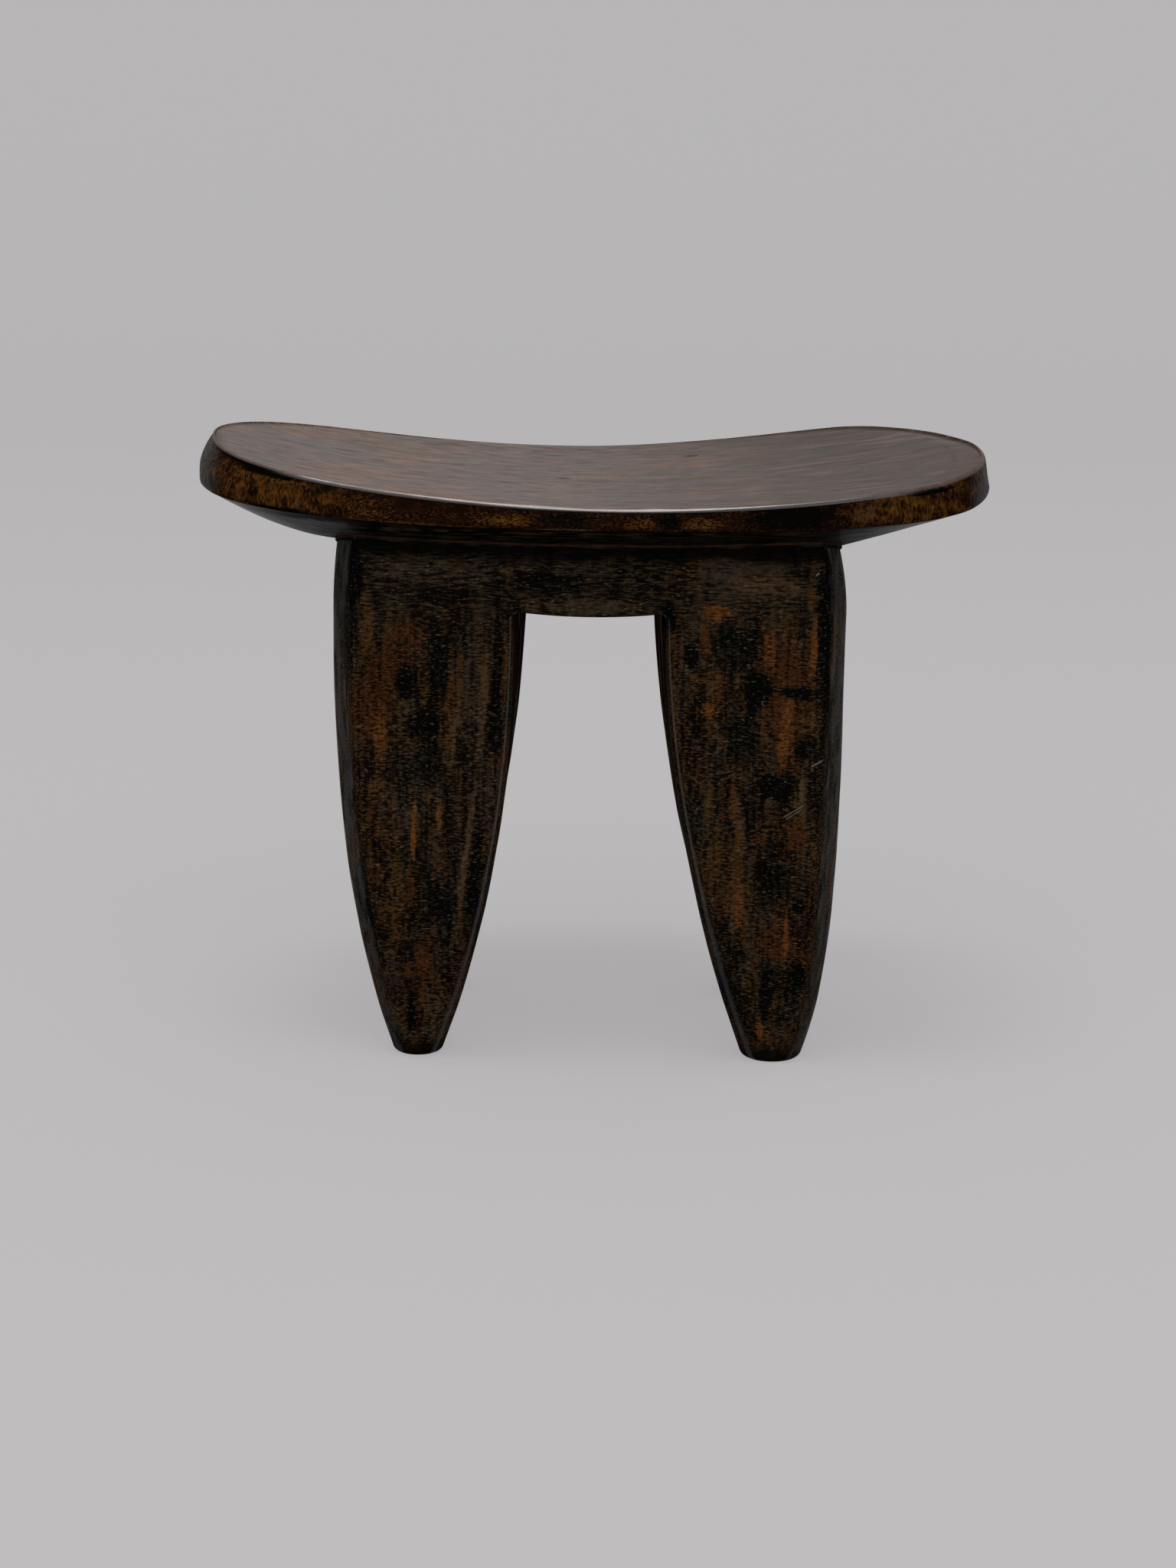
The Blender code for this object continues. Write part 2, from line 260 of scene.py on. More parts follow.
class ShapeTree:
    """A Geometry Nodes tree with named inputs, ending in Realize Instances and Set Material."""

    def __init__(self, name: str) -> None:
        """Start an empty tree.

        Args:
            name: The tree's name.
        """
        self.tree = bpy.data.node_groups.new(name, "GeometryNodeTree")
        self.bench = NodeBench(self.tree)
        self.tree.interface.new_socket("Geometry", in_out="OUTPUT", socket_type="NodeSocketGeometry")
        self.ways: dict[str, str] = {}
        self.inlet = self.bench.node("NodeGroupInput")

    def given(self, name: str, kind: str = "NodeSocketFloat") -> Wire:
        """Declare an input.

        Args:
            name: What the input is called.
            kind: Its socket type.

        Returns:
            The input as a wire.
        """
        socket = self.tree.interface.new_socket(name, in_out="INPUT", socket_type=kind)
        self.ways[name] = socket.identifier
        return Wire(self.bench, self.inlet.outputs[name])

    def store(self, geometry: Wire, name: str, value: Wire, kind: str) -> Wire:
        """Keep a value on a mesh's points under a name, and return the mesh that holds it."""
        sockets = {"Geometry": geometry, "Name": name, "Value": value}
        return self.bench.wire("GeometryNodeStoreNamedAttribute", {"data_type": kind}, sockets)

    def kept(self, name: str, kind: str) -> Wire:
        """Return a value that was stored on the points."""
        return self.bench.wire("GeometryNodeInputNamedAttribute", {"data_type": kind}, {"Name": name})

    def close(self, geometry: Wire, material: Wire) -> None:
        """End the tree with real geometry in its material.

        Args:
            geometry: The finished mesh.
            material: The input that holds the material.
        """
        real = self.bench.wire("GeometryNodeRealizeInstances", {}, {"Geometry": geometry})
        dressed = self.bench.wire("GeometryNodeSetMaterial", {}, {"Geometry": real, "Material": material})
        outlet = self.bench.node("NodeGroupOutput", {}, {"Geometry": dressed})
        outlet.is_active_output = True

    def run(self, name: str, mesh: bpy.types.Mesh, values: dict[str, Any]) -> bpy.types.Object:
        """Evaluate the tree on a mesh and keep the result as a plain mesh.

        Args:
            name: The name of the object that is made.
            mesh: The mesh to start from.
            values: The inputs by name.

        Returns:
            The object, with no modifier left on it.
        """
        worked = bpy.data.objects.new(name, mesh)
        bpy.context.scene.collection.objects.link(worked)
        modifier = worked.modifiers.new(self.tree.name, "NODES")
        modifier.node_group = self.tree
        for key, value in values.items():
            modifier[self.ways[key]] = value
        graph = bpy.context.evaluated_depsgraph_get()
        result = bpy.data.meshes.new_from_object(worked.evaluated_get(graph))
        worked.modifiers.remove(modifier)
        worked.data = result
        result.name = name
        return worked


@dataclass(frozen=True)
class HandCarving:
    """What the carver's tools left: slow waves, and shallow scoops that meet in soft ridges.

    Every cut goes inwards, so that the carved member stays within its solid.
    """

    wave_depth: float = 0.0008
    wave_length: float = 0.075
    scoop_depth: float = 0.0005
    scoop_length: float = 0.022
    stroke: Triple = (1.0, 1.0, 0.45)
    seed: float = 3.0

    WAVE_DETAIL = 1.0
    SCOOP_SMOOTHNESS = 0.25

    @classmethod
    def add_inputs(cls, shape: ShapeTree) -> dict[str, Wire]:
        """Args:
            shape: The tree that is to carve.

        Returns:
            The inputs by the names of the sizes.
        """
        kinds = {size.name: "NodeSocketFloat" for size in fields(cls)} | {"stroke": "NodeSocketVector"}
        return {name: shape.given(name, kind) for name, kind in kinds.items()}

    def values(self) -> dict[str, Any]:
        """Return this carving's sizes by the names of those inputs."""
        return asdict(self)

    @classmethod
    def cut(cls, shape: ShapeTree, geometry: Wire, inputs: dict[str, Wire]) -> Wire:
        """Cut a mesh inwards along its stored outward direction.

        Args:
            shape: The tree to add to.
            geometry: The mesh, which holds "outward" and "carve".
            inputs: The wires that add_inputs gave.

        Returns:
            The carved mesh.
        """
        bench = shape.bench
        place = bench.wire("GeometryNodeInputPosition")
        wave = bench.noise(place, 1 / inputs["wave_length"], cls.WAVE_DETAIL, inputs["seed"])
        settings = {"voronoi_dimensions": "4D", "feature": "SMOOTH_F1"}
        cells = {
            "Vector": bench.vector_math("MULTIPLY", place, inputs["stroke"]),
            "W": inputs["seed"],
            "Scale": 1 / inputs["scoop_length"],
            "Smoothness": cls.SCOOP_SMOOTHNESS,
        }
        scoop = bench.wire("ShaderNodeTexVoronoi", settings, cells, "Distance")
        depth = (1 - scoop * scoop).call("MAXIMUM", 0.0) * inputs["scoop_depth"]
        depth = wave * inputs["wave_depth"] + depth
        depth = depth * shape.kept("carve", "FLOAT") * -1
        offset = bench.scaled(shape.kept("outward", "FLOAT_VECTOR"), depth)
        return bench.wire("GeometryNodeSetPosition", {}, {"Geometry": geometry, "Offset": offset})


class CarvingTree:
    """The tree that carves a lofted member."""

    def __init__(self) -> None:
        """Build the tree once, for every member that is lofted in advance."""
        self.shape = ShapeTree("hand_carving")
        geometry = self.shape.given("Geometry", "NodeSocketGeometry")
        inputs = HandCarving.add_inputs(self.shape)
        material = self.shape.given("Material", "NodeSocketMaterial")
        self.shape.close(HandCarving.cut(self.shape, geometry, inputs), material)

    def carve(self, name: str, mesh: bpy.types.Mesh, carving: HandCarving,
              material: bpy.types.Material) -> bpy.types.Object:
        """Return a piece of this name: the lofted mesh, carved and dressed in its material."""
        return self.shape.run(name, mesh, carving.values() | {"Material": material})


@dataclass
class Loft:
    """Rings of points that become one closed mesh, with the values that carving and finish read."""

    rings: list[list[Vector]] = field(default_factory=list)
    bands: list[float] = field(default_factory=list)
    carves: list[float] = field(default_factory=list)

    def add(self, ring: Sequence[Vector], band: float, carve: float) -> None:
        """Add the next ring.

        Args:
            ring: Its points, in the same order as the last ring's.
            band: Where the ring lies on the member, for the finish.
            carve: The share of the carving's depth that it takes.
        """
        self.rings.append(list(ring))
        self.bands.append(band)
        self.carves.append(carve)

    def mesh(self, name: str, band: str, first_tip: Vector, last_tip: Vector,
             outward: Callable[[int, Vector], Vector] | None = None) -> bpy.types.Mesh:
        """Close the rings with a tip at each end.

        Args:
            name: The mesh's name.
            band: The name under which the rings' bands are kept.
            first_tip: The point that closes the first ring.
            last_tip: The point that closes the last ring.
            outward: Gives a point's outward direction from its place in the ring and its
                normal. Without it the normal is used.

        Returns:
            The mesh, with "outward", "carve" and the bands on its points.
        """
        around = len(self.rings[0])
        points = [point for ring in self.rings for point in ring] + [first_tip, last_tip]
        first = len(points) - 2
        last = len(points) - 1
        end = first - around
        faces: list[tuple[int, ...]] = []
        for here in range(around):
            after = (here + 1) % around
            faces.append((first, after, here))
            faces.append((last, end + here, end + after))
            for level in range(len(self.rings) - 1):
                low = level * around
                high = low + around
                faces.append((low + here, low + after, high + after, high + here))
        made = bpy.data.meshes.new(name)
        made.from_pydata(points, [], faces)
        shell = bmesh.new()
        shell.from_mesh(made)
        bmesh.ops.recalc_face_normals(shell, faces=shell.faces)
        shell.to_mesh(made)
        shell.free()
        ways = [vert.normal.copy() for vert in made.vertices]
        if outward:
            ways = [outward(spot % around, normal) for spot, normal in enumerate(ways)]
        self._keep(made, "outward", "FLOAT_VECTOR", "vector", [axis for way in ways for axis in way])
        self._keep(made, "carve", "FLOAT", "value", self._spread(self.carves, around) + [0.0, 0.0])
        tips = [self.bands[0], self.bands[-1]]
        self._keep(made, band, "FLOAT", "value", self._spread(self.bands, around) + tips)
        return made

    @staticmethod
    def _spread(values: Sequence[float], around: int) -> list[float]:
        """Repeat each ring's value for all its points."""
        return [value for value in values for _ in range(around)]

    @staticmethod
    def _keep(mesh: bpy.types.Mesh, name: str, kind: str, key: str, values: Sequence[float]) -> None:
        """Write an attribute on a mesh's points."""
        mesh.attributes.new(name, kind, "POINT").data.foreach_set(key, values)


def ease(value: float, start: float, stop: float) -> float:
    """Return a smooth rise from 0 at start to 1 at stop."""
    share = min(1.0, max(0.0, (value - start) / (stop - start)))
    return share * share * (3 - 2 * share)


def finish_mesh(piece: bpy.types.Object, weld: float = 0.0) -> None:
    """Close seams, turn faces outwards and shade a finished piece smooth up to its creases.

    Args:
        piece: The piece to finish.
        weld: The distance within which points are merged, or 0 for none.
    """
    shell = bmesh.new()
    shell.from_mesh(piece.data)
    if weld:
        bmesh.ops.remove_doubles(shell, verts=shell.verts, dist=weld)
    bmesh.ops.recalc_face_normals(shell, faces=shell.faces)
    shell.to_mesh(piece.data)
    shell.free()
    piece.data.shade_smooth()
    piece.data.set_sharp_from_angle(angle=CREASE_ANGLE)


def place_piece(piece: bpy.types.Object, node: str) -> None:
    """Let a piece stand for its solid.

    Args:
        piece: The finished piece.
        node: The solid that it stands for.
    """
    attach(piece, ROOT_BODY)
    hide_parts(node)
    LOG.info("%s: %d faces", piece.name, len(piece.data.polygons))


class Tint(Enum):
    """A colour, as linear light."""

    @property
    def rgba(self) -> tuple[float, float, float, float]:
        """The colour with a full alpha."""
        return (*self.value, 1.0)


class Tone(Tint):
    """Colours that stain and wear have left on the wood, and painted light: the neutral greys paint
    reflections, the blackest also paints shade under the ledge, and the saddle tones are partly painted
    sheen and shade.
    """

    PITCH = (0.0017, 0.0015, 0.0013)
    # Painted reflection: a dark grey for the turned corner facets of block and legs
    SLATE = (0.0120, 0.0116, 0.0104)
    SOOT = (0.0180, 0.0150, 0.0105)
    UMBER = (0.0080, 0.0030, 0.0012)
    OLIVE = (0.0340, 0.0240, 0.0140)
    TAN = (0.0580, 0.0330, 0.0165)
    OCHRE = (0.0520, 0.0255, 0.0085)
    RUST = (0.0460, 0.0160, 0.0056)
    AMBER = (0.0980, 0.0345, 0.0080)
    GOLD = (0.0740, 0.0285, 0.0056)
    ROSE = (0.0620, 0.0310, 0.0230)
    SCUFF = (0.1700, 0.1350, 0.1000)
    # Painted reflection grey, for the rim's tips and the underside's ends
    REFLECTION_GREY = (0.0590, 0.0595, 0.0595)
    # Partly painted sheen: the saddle's pale grey-brown and blue-grey stand in for the grey that the waxed
    # top reflects at a low angle; the dark one also paints shade at the right end
    SADDLE = (0.1440, 0.1110, 0.0980)
    SADDLE_RED = (0.1900, 0.1195, 0.0895)
    SADDLE_BLUE = (0.1180, 0.1080, 0.1030)
    SADDLE_DARK = (0.0490, 0.0365, 0.0280)


class Paper(Tint):
    """Colours of the studio's floor, near and far, and of its sky."""

    NEAR = (0.515, 0.503, 0.509)
    FAR = (0.455, 0.445, 0.450)
    SKY = (0.600, 0.600, 0.612)


@dataclass(frozen=True)
class Grain:
    """A noise in the wood, by the lengths of its cells along X, Y and Z.

    Where it is used as a patch, it shows from the first to the second of its values. Where it is
    used as a drift, it moves things by its reach to both sides.
    """

    cell: Triple
    seed: float
    detail: float = 2.0
    shown: Span = (0.0, 1.0)
    reach: float = 0.0


class WoodBench(NodeBench):
    """The bench for one wood material, with the patterns that grain, stain and wear make."""

    SPECULAR = 0.0
    COAT_ROUGHNESS = 0.18

    def __init__(self, name: str) -> None:
        """Start a material.

        Args:
            name: The material's name.
        """
        self.material = bpy.data.materials.new(name)
        self.material.use_nodes = True
        super().__init__(self.material.node_tree)
        self.shader = self.tree.nodes["Principled BSDF"]
        self.shader.inputs["Specular IOR Level"].default_value = self.SPECULAR
        self.shader.inputs["Coat Roughness"].default_value = self.COAT_ROUGHNESS
        self.place = self.wire("ShaderNodeTexCoord", output="Object")
        self.x, self.y, self.z = self.split(self.place)
        behind = self.y > 0.0
        self.facing = {Row.FRONT: 1 - behind, Row.REAR: behind}

    def pattern(self, grain: Grain) -> Wire:
        """Return a grain's noise."""
        shares = tuple(1 / length for length in grain.cell)
        return self.noise(self.vector_math("MULTIPLY", self.place, shares), 1.0, grain.detail, grain.seed)

    def patch(self, grain: Grain) -> Wire:
        """Return where a grain shows, from 0 to 1."""
        return self.pattern(grain).ramp(*grain.shown)

    def wander(self, grain: Grain) -> Wire:
        """Return a grain's drift to both sides of 0, for edges that aren't straight."""
        return (self.pattern(grain) - NOISE_MIDDLE) * (2 * grain.reach)

    def bend_grain(self, grain: Grain) -> None:
        """Let all later patterns follow a grain that wanders up and down."""
        drift = self.joined(0.0, 0.0, self.wander(grain))
        self.place = self.vector_math("ADD", self.place, drift)

    def stored(self, name: str, output: str = "Fac") -> Wire:
        """Return a value that the mesh holds on its points."""
        return self.wire("ShaderNodeAttribute", {"attribute_name": name}, output=output)

    def dress(self, colour: Wire, roughness: Wire, coat: Wire, height: Wire,
              depth: float) -> bpy.types.Material:
        """Finish the material.

        Args:
            colour: The wood's colour.
            roughness: How dull it is.
            coat: How much wax shine lies on it.
            height: The fine relief, from 0 to 1.
            depth: The relief's depth.

        Returns:
            The material.
        """
        bump = self.wire("ShaderNodeBump", {}, {"Strength": 1.0, "Distance": depth, "Height": height})
        values = {"Base Color": colour, "Roughness": roughness, "Coat Weight": coat, "Normal": bump}
        for name, value in values.items():
            self.tree.links.new(value.socket, self.shader.inputs[name])
        return self.material


@dataclass(frozen=True)
class Mark:
    """A patch of stain or wear on the front or rear side, by its middle and half sizes.

    Its level is a height on block and legs, and a band on the seat's rim. Its cover says how
    thickly flecks of its tone lie on the dark ground; below 0 hardly any are left.
    """

    tone: Tone
    x: float
    level: float
    half_width: float
    half_height: float
    cover: float
    lean: float = 0.0
    row: Row = Row.FRONT

    # Where the soft edge ends and begins, and how far frays may reach, in half sizes
    EDGE = (1.30, 0.35)
    FRAY = 1.7

    def touches(self, low: Vector, high: Vector) -> bool:
        """Tell whether the mark reaches into a box.

        Args:
            low: The box's low corner.
            high: The box's high corner.

        Returns:
            Whether any of it may show there.
        """
        tall = self.half_height * self.FRAY
        wide = self.half_width * self.FRAY + abs(self.lean) * tall
        faces = low.y < 0 if self.row is Row.FRONT else high.y > 0
        near_x = low.x - wide < self.x < high.x + wide
        return faces and near_x and low.z - tall < self.level < high.z + tall

    def laid(self, bench: WoodBench, bare: Wire, cover: Wire, level: Wire,
             ragged: Wire) -> tuple[Wire, Wire]:
        """Lay the mark over the wood.

        Args:
            bench: The material's bench.
            bare: The colour of the flecks so far.
            cover: How thickly they lie so far.
            level: The height or band.
            ragged: A drift that frays the mark's edge.

        Returns:
            Colour and cover with the mark.
        """
        rise = level - self.level
        across = bench.x - self.x
        if self.lean:
            across = across - rise * self.lean
        away = (across / self.half_width).hypot(rise / self.half_height) + ragged
        share = away.ramp(*self.EDGE) * bench.facing[self.row]
        return bench.mixed(share, bare, self.tone), cover + (self.cover - cover) * share


@dataclass(frozen=True)
class Scratch:
    """A straight fine mark between two points, given along X and a second axis."""

    tone: Tone
    start: Span
    stop: Span
    half_width: float = 0.0006
    strength: float = 0.7

    # The share of length and half width up to which the mark is full
    FULL = 0.3

    def mask(self, first: Wire, second: Wire) -> Wire:
        """Return where the mark lies.

        Args:
            first: Place along X.
            second: Place along the second axis.

        Returns:
            The mark's strength on it and 0 off it.
        """
        run = Vector(self.stop) - Vector(self.start)
        way = run.normalized()
        along = (first - self.start[0]) * way.x + (second - self.start[1]) * way.y
        across = (second - self.start[1]) * way.x - (first - self.start[0]) * way.y
        ends = abs(along - run.length / 2).ramp(run.length / 2, run.length * self.FULL)
        return abs(across).ramp(self.half_width, self.half_width * self.FULL) * ends * self.strength


@dataclass(frozen=True)
class EdgeWear:
    """What is laid along the edges of block and legs: painted shade along the block's top under the seat's
    ledge, darker soles, and corner facets painted grey for their reflection and waxed where handled.
    """

    top_drift: Grain = Grain((0.0300, 0.0300, 0.0100), 13.0, reach=0.15)
    streak: Grain = Grain((0.0030, 0.0030, 0.0260), 14.0, 4.0, (0.36, 0.66))
    # Painted shade under the ledge: where it begins up the block's rise, and how dark it is
    top_from: Span = (0.68, 0.90)
    ledge_painted_shade: float = 0.9
    sole_height: float = 0.010
    sole_to: Span = (1.6, 0.5)
    sole_darkness: float = 0.85
    inner_share: float = 0.15
    fray: float = 0.16
    facet_from: Span = (0.36, 0.56)
    facet_to: Span = (0.97, 1.0)
    slate_least: float = 0.2
    slate_gain: float = 0.4
    turned_from: Span = (0.46, 0.70)
    turned_to: Span = (0.99, 1.0)
    handled_from: Span = (0.04, 0.16)
    handled_to: Span = (0.24, 0.29)
    handled_fade: float = 0.6
    handled_least: float = 0.4
    handled_gain: float = 0.6
    line_from: Span = (0.50, 0.62)
    line_to: Span = (0.68, 0.80)
    line_coat: float = 0.9
    coat_least: float = 0.10
    coat_gain: float = 0.50
    dullness: float = 0.60
    facet_polish: float = 0.08

    def stained(self, bench: WoodBench, colour: Wire, ragged: Wire) -> Wire:
        """Paint shade along the block's top, which lies under the seat's ledge, and darken the soles.

        Args:
            bench: The material's bench.
            colour: The colour so far.
            ragged: A drift that frays the edge of the dark soles.

        Returns:
            The colour with the painted shade and the dark soles.
        """
        # Painted shade: near-black over the top of the block, where the seat's ledge shades it
        rise = bench.stored("rise") + bench.wander(self.top_drift)
        colour = bench.mixed(rise.ramp(*self.top_from) * self.ledge_painted_shade, colour, Tone.PITCH)
        level = bench.z + ragged * self.sole_height
        sole = level.ramp(*(self.sole_height * share for share in self.sole_to))
        return bench.mixed(sole * self.sole_darkness, colour, Tone.PITCH)

    def handled(self, bench: WoodBench, colour: Wire) -> tuple[Wire, Wire, Wire]:
        """Paint the facets of the corners dark grey for the grey reflection they show, and polish them and
        the line along the inner ones.

        Args:
            bench: The material's bench.
            colour: The colour so far.

        Returns:
            Colour, roughness and coat.
        """
        streak = bench.patch(self.streak)
        out_x, _, _ = bench.split(bench.stored("outward", "Vector"))
        side = abs(out_x)
        outer = out_x * bench.x > 0.0
        shown = outer * (1 - self.inner_share) + self.inner_share
        frayed = side + (streak - NOISE_MIDDLE) * self.fray
        facet = frayed.ramp(*self.facet_from) * (1 - side.ramp(*self.facet_to)) * shown
        # Painted reflection: the turned facets are greyed towards slate for the pale surroundings that they
        # reflect
        colour = bench.mixed(facet * (streak * self.slate_gain + self.slate_least), colour, Tone.SLATE)
        turned = frayed.ramp(*self.turned_from) * (1 - side.ramp(*self.turned_to)) * shown
        hands = bench.z.ramp(*self.handled_from) * (1 - bench.z.ramp(*self.handled_to) * self.handled_fade)
        hands = hands * self.handled_gain + self.handled_least
        line = (1 - outer) * side.ramp(*self.line_from) * (1 - side.ramp(*self.line_to))
        coat = turned * hands * (streak * self.coat_gain + self.coat_least) + line * hands * self.line_coat
        return colour, self.dullness - facet * self.facet_polish, coat


@dataclass(frozen=True)
class BaseFinish:
    """Block and legs: flecks across the grain on a dark ground, in patches of stain and bared wood."""

    marks: tuple[Mark, ...] = ()
    scratches: tuple[Scratch, ...] = ()
    edges: EdgeWear = EdgeWear()
    bend: Grain = Grain((0.0170, 0.0170, 0.0100), 12.0, reach=0.0018)
    leg_fleck: Grain = Grain((0.0032, 0.0010, 0.0010), 1.0, 3.0)
    block_fleck: Grain = Grain((0.0075, 0.0011, 0.0011), 2.0, 3.0)
    pale_fleck: Grain = Grain((0.0030, 0.0010, 0.0009), 10.0, shown=(0.60, 0.70))
    hair: Grain = Grain((0.0022, 0.0022, 0.0360), 3.0)
    drip: Grain = Grain((0.0100, 0.0100, 0.0750), 4.0)
    blot: Grain = Grain((0.0240, 0.0240, 0.0420), 5.0)
    warm: Grain = Grain((0.0085, 0.0085, 0.0650), 6.0, shown=(0.42, 0.58))
    red: Grain = Grain((0.0140, 0.0140, 0.0500), 11.0, shown=(0.50, 0.64))
    shade: Grain = Grain((0.0034, 0.0015, 0.0015), 7.0, shown=(0.42, 0.62))
    ragged: Grain = Grain((0.0036, 0.0036, 0.0110), 8.0, reach=0.75)
    block_from: Span = (0.262, 0.292)
    flecks_shown: Span = (0.54, 0.77)
    worn_shown: Span = (0.42, 0.60)
    warm_fade: float = 0.7
    red_share: float = 0.7
    blot_share: float = 0.5
    least_cover: float = 0.24
    cover_gain: float = 0.36
    hair_weight: float = 1.4
    hair_relief: float = 0.3
    fleck_reach: float = 0.28
    ground_tint: float = 0.10
    shaded: float = 0.5
    scuffed: float = 0.30
    relief: float = 0.00035

    def material(self, name: str, node: str) -> bpy.types.Material:
        """Build the material of one piece, with the marks that reach it.

        Args:
            name: The material's name.
            node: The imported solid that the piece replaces.

        Returns:
            The material.
        """
        low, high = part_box(node)
        bench = WoodBench(name)
        bench.bend_grain(self.bend)
        in_block = bench.z.ramp(*self.block_from)
        leg_fleck = bench.pattern(self.leg_fleck)
        fibre = leg_fleck + (bench.pattern(self.block_fleck) - leg_fleck) * in_block
        hair = bench.pattern(self.hair)
        ragged = bench.wander(self.ragged)
        bare, cover = self._stain(bench, in_block)
        for mark in self.marks:
            if mark.touches(low, high):
                bare, cover = mark.laid(bench, bare, cover, bench.z, ragged)
        cover = cover + (hair - NOISE_MIDDLE) * self.hair_weight * (1 - in_block)
        flecks = (fibre + cover * self.fleck_reach).ramp(*self.flecks_shown)
        ground = bench.mixed(cover * self.ground_tint, Tone.PITCH, bare)
        shaded = bench.mixed(bench.patch(self.shade) * self.shaded, bare, Tone.UMBER)
        colour = bench.mixed(flecks, ground, shaded)
        colour = bench.mixed(bench.patch(self.pale_fleck) * self.scuffed, colour, Tone.SCUFF)
        for scratch in self.scratches:
            x, level = scratch.start
            if low.x <= x <= high.x and low.z <= level <= high.z and low.y < 0:
                shown = scratch.mask(bench.x, bench.z) * bench.facing[Row.FRONT]
                colour = bench.mixed(shown, colour, scratch.tone)
        height = fibre * (1 - self.hair_relief) + hair * self.hair_relief
        colour = self.edges.stained(bench, colour, ragged)
        return bench.dress(*self.edges.handled(bench, colour), height, self.relief)

    def _stain(self, bench: WoodBench, in_block: Wire) -> tuple[Wire, Wire]:
        """Stain the wood where no mark lies.

        Args:
            bench: The material's bench.
            in_block: 1 in the block and 0 in the legs.

        Returns:
            The colour of the flecks, and how thickly they lie.
        """
        warm = bench.patch(self.warm) * (1 - in_block * self.warm_fade)
        red = bench.patch(self.red) * (1 - in_block)
        bare = bench.mixed(warm, Tone.OLIVE, Tone.OCHRE)
        bare = bench.mixed(red * self.red_share, bare, Tone.RUST)
        worn = bench.pattern(self.drip) * (1 - self.blot_share) + bench.pattern(self.blot) * self.blot_share
        return bare, worn.ramp(*self.worn_shown) * self.cover_gain + self.least_cover


@dataclass(frozen=True)
class SaddleSkin:
    """The top: clouds, grain lines, knots and splits on handled wood, and wear around its edge; its pale
    tones are partly painted sheen, and its right end is painted in shade.
    """

    splits: tuple[Scratch, ...] = ()
    knots: tuple[Span, ...] = ()
    knot_size: Span = (0.0060, 0.0045)
    red_cloud: Grain = Grain((0.0700, 0.0420, 0.0420), 23.0, shown=(0.44, 0.62))
    blue_cloud: Grain = Grain((0.0700, 0.0420, 0.0420), 24.0, shown=(0.48, 0.66))
    pale_grain: Grain = Grain((0.0550, 0.0080, 0.0500), 29.0, 3.0, (0.50, 0.66))
    knot_edge: Grain = Grain((0.0020, 0.0020, 0.0020), 25.0, reach=0.4)
    split_drift: Grain = Grain((0.0200, 0.0100, 0.0100), 26.0, reach=0.0020)
    slope_patch: Grain = Grain((0.0200, 0.0140, 0.0140), 27.0, shown=(0.42, 0.58))
    crease_drift: Grain = Grain((0.0080, 0.0080, 0.0080), 28.0, reach=0.006)
    blue: float = 0.8
    front_from: Span = (0.75, 0.97)
    front_middle: float = 0.01
    front_to: Span = (0.12, 0.05)
    front_red: float = 0.8
    # Painted shade towards the right end: where it starts along X, and how strong it is
    right_painted_shade_from: Span = (-0.06, 0.16)
    right_painted_shade: float = 0.80
    pale_least: float = 0.4
    pale_gain: float = 0.1
    line_fade: float = 0.35
    line_depth: float = 0.30
    knot_to: Span = (1.0, 0.3)
    knot: float = 0.8
    slope_edge: float = 0.03
    slope_rose: float = 0.6
    crease_to: Span = (0.009, 0.003)
    crease_least: float = 0.08
    crease_gain: float = 0.25
    left_from: Span = (-0.60, -0.85)
    left_edge: Span = (0.965, 1.0)
    left_rose: float = 0.7

    def colour(self, bench: WoodBench, seat: "SaddleSeat", band: Wire, lines: Wire) -> Wire:
        """Work out the top's colour.

        Args:
            bench: The material's bench.
            seat: The seat, whose worn slope at the right end is followed.
            band: Where a point lies on the way out and down.
            lines: The lines of the grain.

        Returns:
            The colour.
        """
        front_side = bench.facing[Row.FRONT]
        # Partly painted sheen: the pale and blue-grey clouds carry the grey that the top reflects at a low
        # angle
        colour = bench.mixed(bench.patch(self.red_cloud), Tone.SADDLE, Tone.SADDLE_RED)
        colour = bench.mixed(bench.patch(self.blue_cloud) * self.blue, colour, Tone.SADDLE_BLUE)
        middle = abs(bench.x - self.front_middle).ramp(*self.front_to)
        front = band.ramp(*self.front_from) * front_side * middle
        colour = bench.mixed(front * self.front_red, colour, Tone.SADDLE_RED)
        # Painted shade: the top darkens towards its right end, standing in for light that falls from the
        # left
        right_painted_shade = bench.x.ramp(*self.right_painted_shade_from)
        colour = bench.mixed(right_painted_shade * self.right_painted_shade, colour, Tone.SADDLE_DARK)
        pale = bench.patch(self.pale_grain) * (right_painted_shade * self.pale_gain + self.pale_least)
        colour = bench.mixed(pale, colour, Tone.SADDLE_RED)
        colour = bench.mixed(lines * (1 - right_painted_shade * self.line_fade), colour, Tone.SADDLE_DARK)
        colour = bench.mixed(lines * right_painted_shade * self.line_depth, colour, Tone.UMBER)
        for x, y in self.knots:
            away = ((bench.x - x) / self.knot_size[0]).hypot((bench.y - y) / self.knot_size[1])
            near = (away + bench.wander(self.knot_edge)).ramp(*self.knot_to)
            colour = bench.mixed(near * self.knot, colour, Tone.UMBER)
        wavy = bench.y + bench.wander(self.split_drift)
        for split in self.splits:
            colour = bench.mixed(split.mask(bench.x, wavy), colour, split.tone)
        along = bench.x / seat.half_length
        right = along.ramp(*seat.right_slope_from)
        patches = bench.patch(self.slope_patch)
        worn = band.ramp(seat.crease, seat.crease + self.slope_edge) * right * front_side
        colour = bench.mixed(worn * patches * self.slope_rose, colour, Tone.ROSE)
        line = abs(band + bench.wander(self.crease_drift) - seat.crease).ramp(*self.crease_to)
        line = line * right * (patches * self.crease_gain + self.crease_least)
        colour = bench.mixed(line, colour, Tone.UMBER)
        left = along.ramp(*self.left_from) * front_side
        return bench.mixed(band.ramp(*self.left_edge) * left * self.left_rose, colour, Tone.ROSE)


